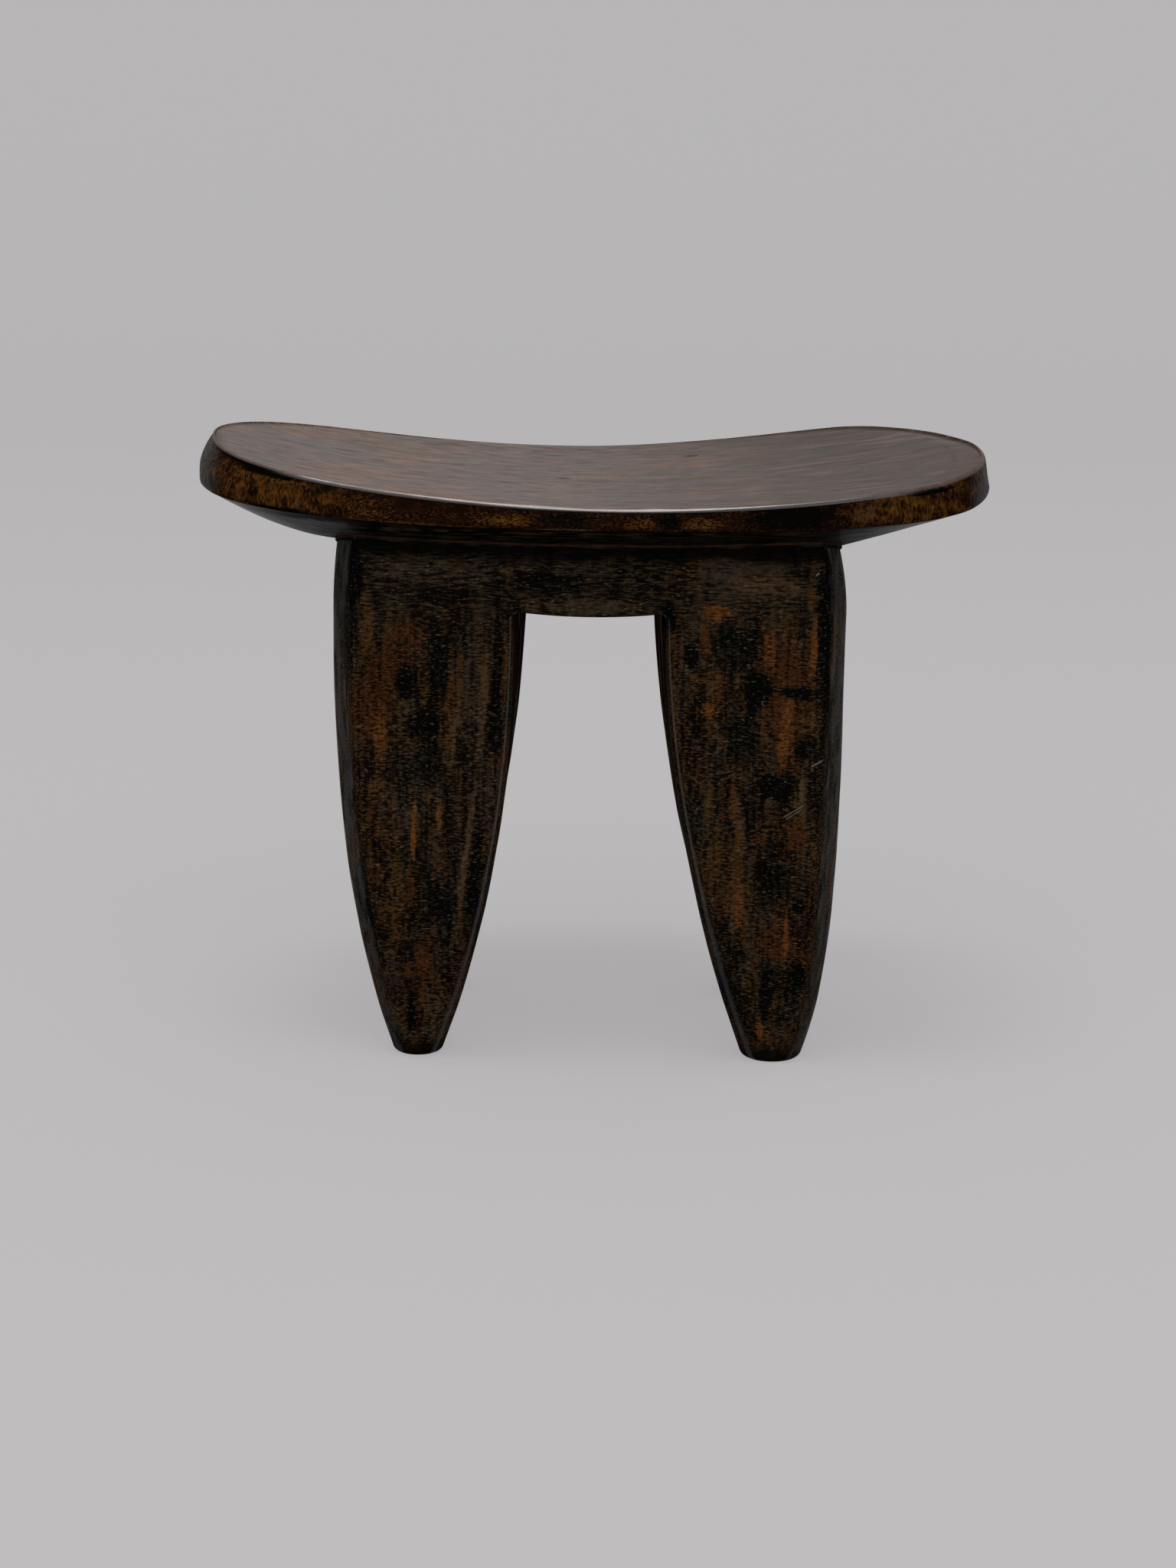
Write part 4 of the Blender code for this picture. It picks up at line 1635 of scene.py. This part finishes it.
class LegTree:
    """The rule of a leg: a round-cornered section that draws in on its way down to a round foot.

    A leg is shaped outwards from the base's centre, then turned to its own side and row.
    """

    AROUND = 208
    ROWS = 220
    ARCH_ROWS = 7
    FOOT_ROWS = 7
    STRAIGHT = 0.34
    CORNER_LIMIT = 0.49
    FACET_FADE = 0.60
    WELD = 1e-5
    LEG_SIZES = (
        "foot_reach", "foot_reach_depth", "foot_width", "outer_curve", "inner_curve", "face_curve",
        "end_opening", "inner_corner", "arch_round", "foot_round",
    )
    BLOCK_SIZES = (
        "join_level", "half_length", "half_depth", "opening", "corner", "corner_cut", "inner_flare",
    )
    SIGNS = ("side", "row")

    def __init__(self) -> None:
        """Build the tree once, for all four legs."""
        self.shape = ShapeTree("tapered_leg")
        bench = self.shape.bench
        sizes = self.LEG_SIZES + self.BLOCK_SIZES + self.SIGNS
        self.size = {name: self.shape.given(name) for name in sizes}
        centre = self.shape.given("centre", "NodeSocketVector")
        inputs = HandCarving.add_inputs(self.shape)
        material = self.shape.given("Material", "NodeSocketMaterial")
        counts = {"Size X": 1.0, "Size Y": 1.0, "Vertices X": self.AROUND + 1, "Vertices Y": self.ROWS + 1}
        sheet = bench.wire("GeometryNodeMeshGrid", {}, counts)
        across, along, _ = bench.split(bench.wire("GeometryNodeInputPosition"))
        turn = across + 0.5
        row = (along + 0.5) * self.ROWS
        point, outward, carve = self._surface(turn, row)
        place = bench.vector_math("ADD", point, centre)
        sheet = self.shape.store(sheet, "outward", outward, "FLOAT_VECTOR")
        sheet = self.shape.store(sheet, "carve", carve, "FLOAT")
        leg = bench.wire("GeometryNodeSetPosition", {}, {"Geometry": sheet, "Position": place})
        leg = bench.wire("GeometryNodeMergeByDistance", {}, {"Geometry": leg, "Distance": self.WELD})
        self.shape.close(HandCarving.cut(self.shape, leg, inputs), material)

    def _levels(self, row: Wire) -> tuple[Wire, Wire, Wire]:
        """Work out the level of each row, with the rounds at the arch and at the sole.

        Args:
            row: The row's number, from the top.

        Returns:
            Height, spread under the arch and inset at the sole.
        """
        size = self.size
        sole = self.ROWS - 1
        arch = (1 - row.share(1, self.ARCH_ROWS)) * QUARTER_TURN
        fall = row.share(self.ARCH_ROWS, sole - self.FOOT_ROWS)
        foot = row.share(sole - self.FOOT_ROWS, sole) * QUARTER_TURN
        straight = size["join_level"] - size["arch_round"] - size["foot_round"]
        height = size["join_level"] - size["arch_round"] * (1 - arch.call("SINE"))
        height = height - straight * fall - size["foot_round"] * foot.call("SINE")
        spread = size["arch_round"] * (1 - arch.call("COSINE"))
        inset = size["foot_round"] * (1 - foot.call("COSINE"))
        return height, spread, inset

    def _surface(self, turn: Wire, row: Wire) -> tuple[Wire, Wire, Wire]:
        """Work out a leg's surface over the sheet.

        Args:
            turn: The share of the way round the section.
            row: The row's number, from the top.

        Returns:
            Place, outward direction and share of the carving.
        """
        bench = self.shape.bench
        size = self.size
        height, spread, inset = self._levels(row)
        drop = 1 - height / size["join_level"]
        radius = size["foot_width"] / 2
        inner = drop ** size["inner_curve"]
        face = drop ** size["face_curve"]
        outer = drop ** size["outer_curve"]
        front_gap = size["opening"] / 2
        end_gap = size["end_opening"] / 2
        reach = size["foot_reach"]
        depth = size["foot_reach_depth"]
        high_x = size["half_length"] + (reach + radius - size["half_length"]) * outer - inset
        low_x = front_gap + (reach - radius - front_gap) * inner + inset - spread
        high_y = size["half_depth"] + (depth + radius - size["half_depth"]) * face - inset
        low_y = end_gap + (depth - radius - end_gap) * inner + inset - spread
        half_x = (high_x - low_x) / 2
        half_y = (high_y - low_y) / 2
        outside = abs(turn - 0.5) > 0.25
        before = 1 - (turn > 0.5)
        is_outer = outside * before
        side_sign = outside * 2 - 1
        row_sign = before * 2 - 1
        start = size["inner_corner"] + (size["corner"] - size["inner_corner"]) * is_outer
        corner = start + (radius - start) * drop
        corner = corner.call("MINIMUM", half_x.call("MINIMUM", half_y) * (2 * self.CORNER_LIMIT))
        quarter = (turn * 4).call("PINGPONG", 1.0)
        bend = quarter.share(self.STRAIGHT, 1 - self.STRAIGHT) * QUARTER_TURN
        along = bend.call("COSINE")
        across = bend.call("SINE")
        facet = size["corner_cut"] * is_outer * (1 - drop.ramp(self.FACET_FADE, 1.0))
        round_off = corner - facet * (along * across * 2) ** 2
        x = (half_x - corner) * (1 - quarter).share(0, self.STRAIGHT) + round_off * along
        y = (half_y - corner) * quarter.share(0, self.STRAIGHT) + round_off * across
        shown = (row > 0.5) * (1 - (row > self.ROWS - 0.5))
        plan_x = (high_x + low_x) / 2 + x * side_sign * shown
        plan_y = (high_y + low_y) / 2 + y * row_sign * shown
        flare = size["inner_flare"] * size["row"] * plan_y / size["half_depth"] * (1 - drop) ** 2
        plan_x = plan_x - flare * (high_x - plan_x) / (high_x - low_x)
        place = bench.joined(plan_x * size["side"], plan_y * size["row"], height)
        outward = bench.joined(along * side_sign * size["side"], across * row_sign * size["row"], 0.0)
        return place, outward, shown

    def build(self, name: str, values: dict[str, Any]) -> bpy.types.Object:
        """Return one leg of this name as a plain mesh, shaped by the tree's inputs."""
        return self.shape.run(name, bpy.data.meshes.new(name), values)


@dataclass
class TaperedLeg:
    """One leg, from the block down to its foot."""

    side: Side
    row: Row
    block: ApronBlock
    foot_reach: float
    foot_width: float
    outer_curve: float
    inner_curve: float
    foot_reach_depth: float = 0.0635
    end_opening: float = 0.0400
    face_curve: float = 2.6
    inner_corner: float = 0.0045
    arch_round: float = 0.0040
    foot_round: float = 0.0030
    carving: HandCarving = HandCarving()

    @property
    def name(self) -> str:
        """The name of the leg's solid."""
        return "leg_%s_%s" % (self.row.name.lower(), self.side.name.lower())

    @classmethod
    def pair(cls, side: Side, block: ApronBlock) -> list["TaperedLeg"]:
        """Return the two legs of one end.

        Args:
            side: Which end.
            block: The block that they stand under.

        Returns:
            The front leg and the rear leg.
        """
        if side is Side.LEFT:
            sizes = {"foot_reach": 0.1010, "foot_width": 0.0300, "outer_curve": 2.5}
            inner_curve = {Row.FRONT: 2.2, Row.REAR: 2.2}
        else:
            sizes = {"foot_reach": 0.1141, "foot_width": 0.0368, "outer_curve": 4.9}
            inner_curve = {Row.FRONT: 1.8, Row.REAR: 2.1}
        return [cls(side, row, block, inner_curve=inner_curve[row], **sizes) for row in Row]

    def build(self, tree: LegTree, material: bpy.types.Material) -> bpy.types.Object:
        """Shape, carve and place the leg.

        Args:
            tree: The leg's tree.
            material: The leg's finish.

        Returns:
            The finished piece.
        """
        values = {name: getattr(self, name) for name in LegTree.LEG_SIZES}
        values |= {name: getattr(self.block, name) for name in LegTree.BLOCK_SIZES}
        values |= {name: float(getattr(self, name).value) for name in LegTree.SIGNS}
        values |= self.carving.values() | {"centre": self.block.centre, "Material": material}
        piece = tree.build("carved_" + self.name, values)
        finish_mesh(piece, LegTree.WELD)
        place_piece(piece, self.name)
        return piece


@dataclass(frozen=True)
class Lamp:
    """A broad, far lamp over the stool.

    Its strength is what it gives on a face turned to it. Its spread, which is its width as seen
    from the stool, and its leans from overhead to the right and to the front are in degrees.
    """

    name: str
    strength: float
    spread: float
    aside: float
    forward: float

    def hang(self) -> None:
        """Add the lamp to the scene."""
        light = bpy.data.lights.new(self.name, "SUN")
        light.energy = self.strength
        light.angle = math.radians(self.spread)
        lamp = bpy.data.objects.new(self.name, light)
        turn = Matrix.Rotation(math.radians(self.aside), 3, "Y")
        turn = turn @ Matrix.Rotation(math.radians(self.forward), 3, "X")
        lamp.rotation_euler = turn.to_euler()
        bpy.context.scene.collection.objects.link(lamp)


@dataclass
class Studio:
    """A plain pale floor that curves up behind, soft light from above and the photograph's camera."""

    floor_reach: float = 60.0
    floor_back: float = 3.0
    floor_curve: float = 2.5
    wall_height: float = 6.0
    curve_steps: int = 24
    fade: Span = (-1.0, 4.0)
    even_share: float = 0.70
    lamps: tuple[Lamp, ...] = (
        Lamp("overhead", 0.45, 15, -2, 9),
        Lamp("overhead_left", 0.40, 14, -11, 11),
        Lamp("front_left", 0.7, 60, -35, 50),
        Lamp("front_right", 0.6, 60, 40, 50),
    )
    camera_place: Triple = (-0.0007, -2.0, 0.6227)
    camera_pitch: float = 0.2307
    camera_roll: float = 0.015
    focal_pixels: float = 4330.0
    image_height: float = 2048.0
    sensor: float = 36.0

    def build(self) -> None:
        """Set up view, sky, floor, lamps and camera."""
        bpy.context.scene.view_settings.view_transform = "Standard"
        self._sky()
        self._floor()
        for lamp in self.lamps:
            lamp.hang()
        self._camera()

    def _sky(self) -> None:
        """Surround the stool with an even pale grey, which the camera sees in the floor's tone."""
        world = bpy.data.worlds.new("studio")
        world.use_nodes = True
        tree = world.node_tree
        bench = NodeBench(tree)
        seen = Wire(bench, bench.node("ShaderNodeLightPath").outputs["Is Camera Ray"])
        colour = bench.mixed(seen, Paper.SKY, Paper.NEAR)
        tree.links.new(colour.socket, tree.nodes["Background"].inputs["Color"])
        bpy.context.scene.world = world

    def _floor(self) -> None:
        """Lay a floor that curves up into a wall behind the stool."""
        profile = [(-self.floor_reach, 0.0)]
        for step in range(self.curve_steps + 1):
            bend = QUARTER_TURN * step / self.curve_steps
            y = self.floor_back + self.floor_curve * math.sin(bend)
            profile.append((y, self.floor_curve * (1 - math.cos(bend))))
        profile.append((profile[-1][0], self.wall_height))
        points = [(x, y, z) for y, z in profile for x in (-self.floor_reach, self.floor_reach)]
        faces = [(2 * here, 2 * here + 1, 2 * here + 3, 2 * here + 2) for here in range(len(profile) - 1)]
        mesh = bpy.data.meshes.new("studio_floor")
        mesh.from_pydata(points, [], faces)
        mesh.shade_smooth()
        mesh.materials.append(self._paper())
        floor = bpy.data.objects.new("studio_floor", mesh)
        bpy.context.scene.collection.objects.link(floor)

    def _paper(self) -> bpy.types.Material:
        """Make the floor's dull paper, evened out for the camera so that shadows stay faint.

        Returns:
            The material.
        """
        material = bpy.data.materials.new("studio_floor")
        material.use_nodes = True
        tree = material.node_tree
        bench = NodeBench(tree)
        lit = tree.nodes["Principled BSDF"]
        sockets = {"Base Color": (0, 0, 0, 1), "Emission Strength": 1.0}
        even = bench.node("ShaderNodeBsdfPrincipled", {}, sockets)
        _, y, _ = bench.split(bench.wire("ShaderNodeTexCoord", output="Object"))
        colour = bench.mixed(y.ramp(*self.fade), Paper.NEAR, Paper.FAR)
        for shader, entry in ((lit, "Base Color"), (even, "Emission Color")):
            shader.inputs["Roughness"].default_value = 1.0
            shader.inputs["Specular IOR Level"].default_value = 0.0
            tree.links.new(colour.socket, shader.inputs[entry])
        ray = bench.node("ShaderNodeLightPath").outputs
        seen = Wire(bench, ray["Is Camera Ray"]).call("MAXIMUM", Wire(bench, ray["Is Glossy Ray"]))
        shaders = {1: Wire(bench, lit.outputs[0]), 2: Wire(bench, even.outputs[0])}
        surface = bench.wire("ShaderNodeMixShader", {}, {0: seen * self.even_share} | shaders)
        tree.links.new(surface.socket, tree.nodes["Material Output"].inputs["Surface"])
        return material

    def _camera(self) -> None:
        """Set the camera as it stood for the photograph."""
        data = bpy.data.cameras.new("camera")
        data.sensor_width = self.sensor
        data.lens = self.focal_pixels * self.sensor / self.image_height
        camera = bpy.data.objects.new("camera", data)
        turn = Matrix.Rotation(QUARTER_TURN - self.camera_pitch, 3, "X")
        camera.rotation_euler = (turn @ Matrix.Rotation(self.camera_roll, 3, "Z")).to_euler()
        camera.location = self.camera_place
        bpy.context.scene.collection.objects.link(camera)
        bpy.context.scene.camera = camera


# Marks on block and legs, by X and height
BASE_MARKS = (
    Mark(Tone.SOOT, -0.140, 0.301, 0.008, 0.018, -0.30),
    Mark(Tone.SOOT, -0.027, 0.298, 0.029, 0.007, 0.20),
    Mark(Tone.SOOT, -0.087, 0.290, 0.020, 0.006, 0.20),
    Mark(Tone.OLIVE, -0.101, 0.306, 0.029, 0.011, 0.65),
    Mark(Tone.OLIVE, -0.001, 0.284, 0.031, 0.005, 0.80),
    Mark(Tone.RUST, 0.057, 0.312, 0.004, 0.007, 0.60),
    Mark(Tone.OLIVE, 0.092, 0.304, 0.032, 0.015, 0.90),
    Mark(Tone.TAN, 0.100, 0.298, 0.022, 0.006, 0.75),
    Mark(Tone.OCHRE, 0.127, 0.294, 0.002, 0.022, 0.70),
    Mark(Tone.SOOT, 0.136, 0.270, 0.004, 0.060, -0.10),
    Mark(Tone.OCHRE, -0.130, 0.271, 0.005, 0.017, 0.75),
    Mark(Tone.RUST, -0.108, 0.266, 0.011, 0.012, 0.70),
    Mark(Tone.RUST, -0.126, 0.228, 0.013, 0.026, 0.65),
    Mark(Tone.RUST, -0.116, 0.252, 0.018, 0.016, 0.60),
    Mark(Tone.AMBER, -0.122, 0.205, 0.005, 0.020, 0.65),
    Mark(Tone.OCHRE, -0.123, 0.174, 0.006, 0.011, 0.65),
    Mark(Tone.SOOT, -0.089, 0.249, 0.007, 0.026, 0.15),
    Mark(Tone.SOOT, -0.107, 0.238, 0.006, 0.010, -0.10),
    Mark(Tone.SOOT, -0.097, 0.212, 0.011, 0.009, -0.25),
    Mark(Tone.SOOT, -0.096, 0.189, 0.011, 0.014, 0.25),
    Mark(Tone.OCHRE, -0.079, 0.218, 0.004, 0.039, 0.75, 0.12),
    Mark(Tone.TAN, -0.079, 0.206, 0.0015, 0.018, 0.95, 0.10),
    Mark(Tone.TAN, -0.063, 0.221, 0.003, 0.034, 0.85, 0.05),
    Mark(Tone.SOOT, -0.056, 0.221, 0.004, 0.026, -0.05),
    Mark(Tone.OCHRE, -0.049, 0.248, 0.003, 0.029, 0.55, 0.06),
    Mark(Tone.OLIVE, -0.071, 0.236, 0.004, 0.043, 0.65, 0.05),
    Mark(Tone.AMBER, -0.103, 0.148, 0.0018, 0.022, 1.00, 0.04),
    Mark(Tone.RUST, -0.105, 0.114, 0.002, 0.016, 0.80, 0.05),
    Mark(Tone.AMBER, -0.088, 0.158, 0.002, 0.011, 0.95, 0.05),
    Mark(Tone.TAN, -0.072, 0.135, 0.0022, 0.050, 0.95, 0.12),
    Mark(Tone.SOOT, -0.067, 0.119, 0.004, 0.031, -0.10, 0.12),
    Mark(Tone.SOOT, -0.087, 0.102, 0.010, 0.019, 0.10),
    Mark(Tone.OCHRE, -0.116, 0.085, 0.005, 0.009, 0.65),
    Mark(Tone.RUST, -0.126, 0.121, 0.004, 0.011, 0.65),
    Mark(Tone.SOOT, -0.132, 0.100, 0.006, 0.019, 0.05, -0.15),
    Mark(Tone.RUST, -0.098, 0.065, 0.006, 0.012, 0.80, -0.10),
    Mark(Tone.SOOT, -0.105, 0.029, 0.003, 0.015, -0.20),
    Mark(Tone.TAN, -0.090, 0.030, 0.010, 0.016, 0.55),
    Mark(Tone.TAN, -0.115, 0.029, 0.006, 0.011, 0.50),
    Mark(Tone.OCHRE, 0.049, 0.236, 0.004, 0.044, 0.55, -0.06),
    Mark(Tone.SOOT, 0.045, 0.277, 0.005, 0.010, -0.20),
    Mark(Tone.SOOT, 0.058, 0.256, 0.005, 0.008, -0.15),
    Mark(Tone.SOOT, 0.083, 0.261, 0.016, 0.016, 0.18),
    Mark(Tone.SOOT, 0.088, 0.208, 0.012, 0.021, 0.28),
    Mark(Tone.AMBER, 0.072, 0.282, 0.011, 0.005, 0.70),
    Mark(Tone.RUST, 0.066, 0.265, 0.003, 0.012, 0.85, -0.10),
    Mark(Tone.AMBER, 0.068, 0.224, 0.005, 0.005, 0.75),
    Mark(Tone.RUST, 0.116, 0.230, 0.017, 0.044, 0.68),
    Mark(Tone.AMBER, 0.104, 0.258, 0.004, 0.014, 0.70),
    Mark(Tone.AMBER, 0.129, 0.260, 0.0025, 0.020, 0.90),
    Mark(Tone.OCHRE, 0.127, 0.219, 0.007, 0.009, 0.75),
    Mark(Tone.AMBER, 0.114, 0.212, 0.0045, 0.024, 0.85),
    Mark(Tone.SOOT, 0.097, 0.237, 0.007, 0.012, -0.25),
    Mark(Tone.SOOT, 0.120, 0.235, 0.011, 0.004, -0.15, -0.6),
    Mark(Tone.SOOT, 0.126, 0.202, 0.006, 0.009, 0.10),
    Mark(Tone.SOOT, 0.109, 0.178, 0.013, 0.008, -0.25),
    Mark(Tone.TAN, 0.125, 0.172, 0.002, 0.017, 0.90, -0.05),
    Mark(Tone.OCHRE, 0.071, 0.168, 0.003, 0.016, 0.80),
    Mark(Tone.OCHRE, 0.085, 0.167, 0.003, 0.015, 0.80),
    Mark(Tone.OCHRE, 0.089, 0.109, 0.010, 0.018, 0.70),
    Mark(Tone.OCHRE, 0.088, 0.123, 0.004, 0.045, 0.85, 0.03),
    Mark(Tone.AMBER, 0.090, 0.104, 0.0025, 0.018, 0.80, 0.03),
    Mark(Tone.OCHRE, 0.074, 0.135, 0.006, 0.018, 0.60),
    Mark(Tone.SOOT, 0.108, 0.124, 0.010, 0.020, 0.12),
    Mark(Tone.RUST, 0.111, 0.080, 0.012, 0.013, 0.70),
    Mark(Tone.AMBER, 0.118, 0.082, 0.002, 0.020, 0.80),
    Mark(Tone.RUST, 0.123, 0.148, 0.006, 0.014, 0.75, -0.05),
    Mark(Tone.SOOT, 0.125, 0.104, 0.003, 0.004, -0.20),
    Mark(Tone.SOOT, 0.108, 0.047, 0.004, 0.019, -0.10),
    Mark(Tone.SOOT, 0.127, 0.058, 0.005, 0.010, -0.05),
    Mark(Tone.SOOT, 0.086, 0.046, 0.008, 0.019, 0.10, -0.30),
    Mark(Tone.AMBER, 0.105, 0.021, 0.003, 0.007, 0.80, -0.15),
    Mark(Tone.RUST, -0.110, 0.170, 0.012, 0.060, 0.60, 0.0, Row.REAR),
    Mark(Tone.SOOT, -0.085, 0.225, 0.013, 0.035, 0.10, 0.0, Row.REAR),
    Mark(Tone.AMBER, -0.100, 0.125, 0.003, 0.034, 0.90, 0.0, Row.REAR),
    Mark(Tone.TAN, -0.070, 0.180, 0.005, 0.060, 0.75, 0.05, Row.REAR),
    Mark(Tone.AMBER, 0.090, 0.220, 0.006, 0.028, 0.80, 0.0, Row.REAR),
    Mark(Tone.SOOT, 0.115, 0.190, 0.011, 0.030, 0.08, 0.0, Row.REAR),
    Mark(Tone.OCHRE, 0.105, 0.115, 0.004, 0.042, 0.80, -0.03, Row.REAR),
    Mark(Tone.RUST, 0.070, 0.165, 0.004, 0.030, 0.80, 0.0, Row.REAR),
    Mark(Tone.OCHRE, -0.030, 0.298, 0.020, 0.006, 0.60, 0.0, Row.REAR),
)
SCRATCHES = (
    Scratch(Tone.SCUFF, (0.129, 0.191), (0.137, 0.195)),
    Scratch(Tone.SCUFF, (0.113, 0.159), (0.127, 0.168), 0.0005, 0.5),
    Scratch(Tone.SCUFF, (0.115, 0.158), (0.126, 0.166), 0.0004, 0.4),
    Scratch(Tone.SCUFF, (0.129, 0.304), (0.131, 0.306), 0.0008, 0.7),
)
# Marks on the rim, by X and band
RIM_MARKS = (
    Mark(Tone.GOLD, -0.178, 1.55, 0.020, 0.34, 0.55),
    Mark(Tone.GOLD, -0.205, 1.55, 0.012, 0.40, 0.52),
    Mark(Tone.GOLD, -0.135, 1.55, 0.022, 0.34, 0.40),
    Mark(Tone.SOOT, -0.186, 1.22, 0.018, 0.06, -0.40),
    Mark(Tone.SOOT, -0.178, 1.94, 0.022, 0.16, -0.40),
    Mark(Tone.OCHRE, -0.095, 1.90, 0.045, 0.10, 0.75),
    Mark(Tone.GOLD, -0.050, 1.62, 0.016, 0.22, 0.52),
    Mark(Tone.SOOT, -0.015, 1.50, 0.017, 0.26, 0.05),
    Mark(Tone.ROSE, -0.017, 1.90, 0.024, 0.08, 0.75),
    Mark(Tone.GOLD, 0.028, 1.65, 0.011, 0.22, 0.48),
    Mark(Tone.SOOT, 0.044, 1.50, 0.008, 0.30, -0.08),
    Mark(Tone.GOLD, 0.062, 1.62, 0.012, 0.28, 0.56),
    Mark(Tone.RUST, 0.112, 1.46, 0.030, 0.40, -0.20),
    Mark(Tone.OCHRE, 0.155, 1.60, 0.010, 0.36, 0.50),
    Mark(Tone.GOLD, 0.185, 1.55, 0.028, 0.40, 0.50),
    Mark(Tone.SOOT, 0.194, 1.22, 0.014, 0.05, -0.40),
    Mark(Tone.SOOT, 0.170, 1.95, 0.026, 0.08, -0.20),
    Mark(Tone.OCHRE, -0.150, 1.55, 0.050, 0.36, 0.75, 0.0, Row.REAR),
    Mark(Tone.SOOT, -0.060, 1.55, 0.035, 0.40, 0.00, 0.0, Row.REAR),
    Mark(Tone.OCHRE, 0.020, 1.60, 0.030, 0.30, 0.70, 0.0, Row.REAR),
    Mark(Tone.RUST, 0.090, 1.55, 0.035, 0.36, 0.60, 0.0, Row.REAR),
    Mark(Tone.OCHRE, 0.180, 1.55, 0.035, 0.36, 0.75, 0.0, Row.REAR),
)
# Fine splits and knots of the saddle, by X and Y
SPLITS = (
    Scratch(Tone.UMBER, (-0.108, -0.080), (-0.064, -0.0785), 0.0010, 0.6),
)
KNOTS = ((0.0616, 0.0913), (-0.0180, 0.0075))


def main() -> None:
    """Build the stool and its studio, and report each piece."""
    logging.basicConfig(level=logging.INFO, format="%(name)s: %(message)s")
    carving = CarvingTree()
    legs = LegTree()
    block = ApronBlock.from_frame()
    seat = SaddleSeat.from_frame(block)
    base_finish = BaseFinish(BASE_MARKS, SCRATCHES)
    seat_finish = SeatFinish(SaddleSkin(SPLITS, KNOTS), RimSkin(RIM_MARKS))
    seat.build(carving, seat_finish.material("saddle_wood", seat))
    block.build(carving, base_finish.material("apron_wood", "apron"))
    for side in Side:
        for leg in TaperedLeg.pair(side, block):
            leg.build(legs, base_finish.material(leg.name + "_wood", leg.name))
    Studio().build()


if __name__ == "__main__":
    main()
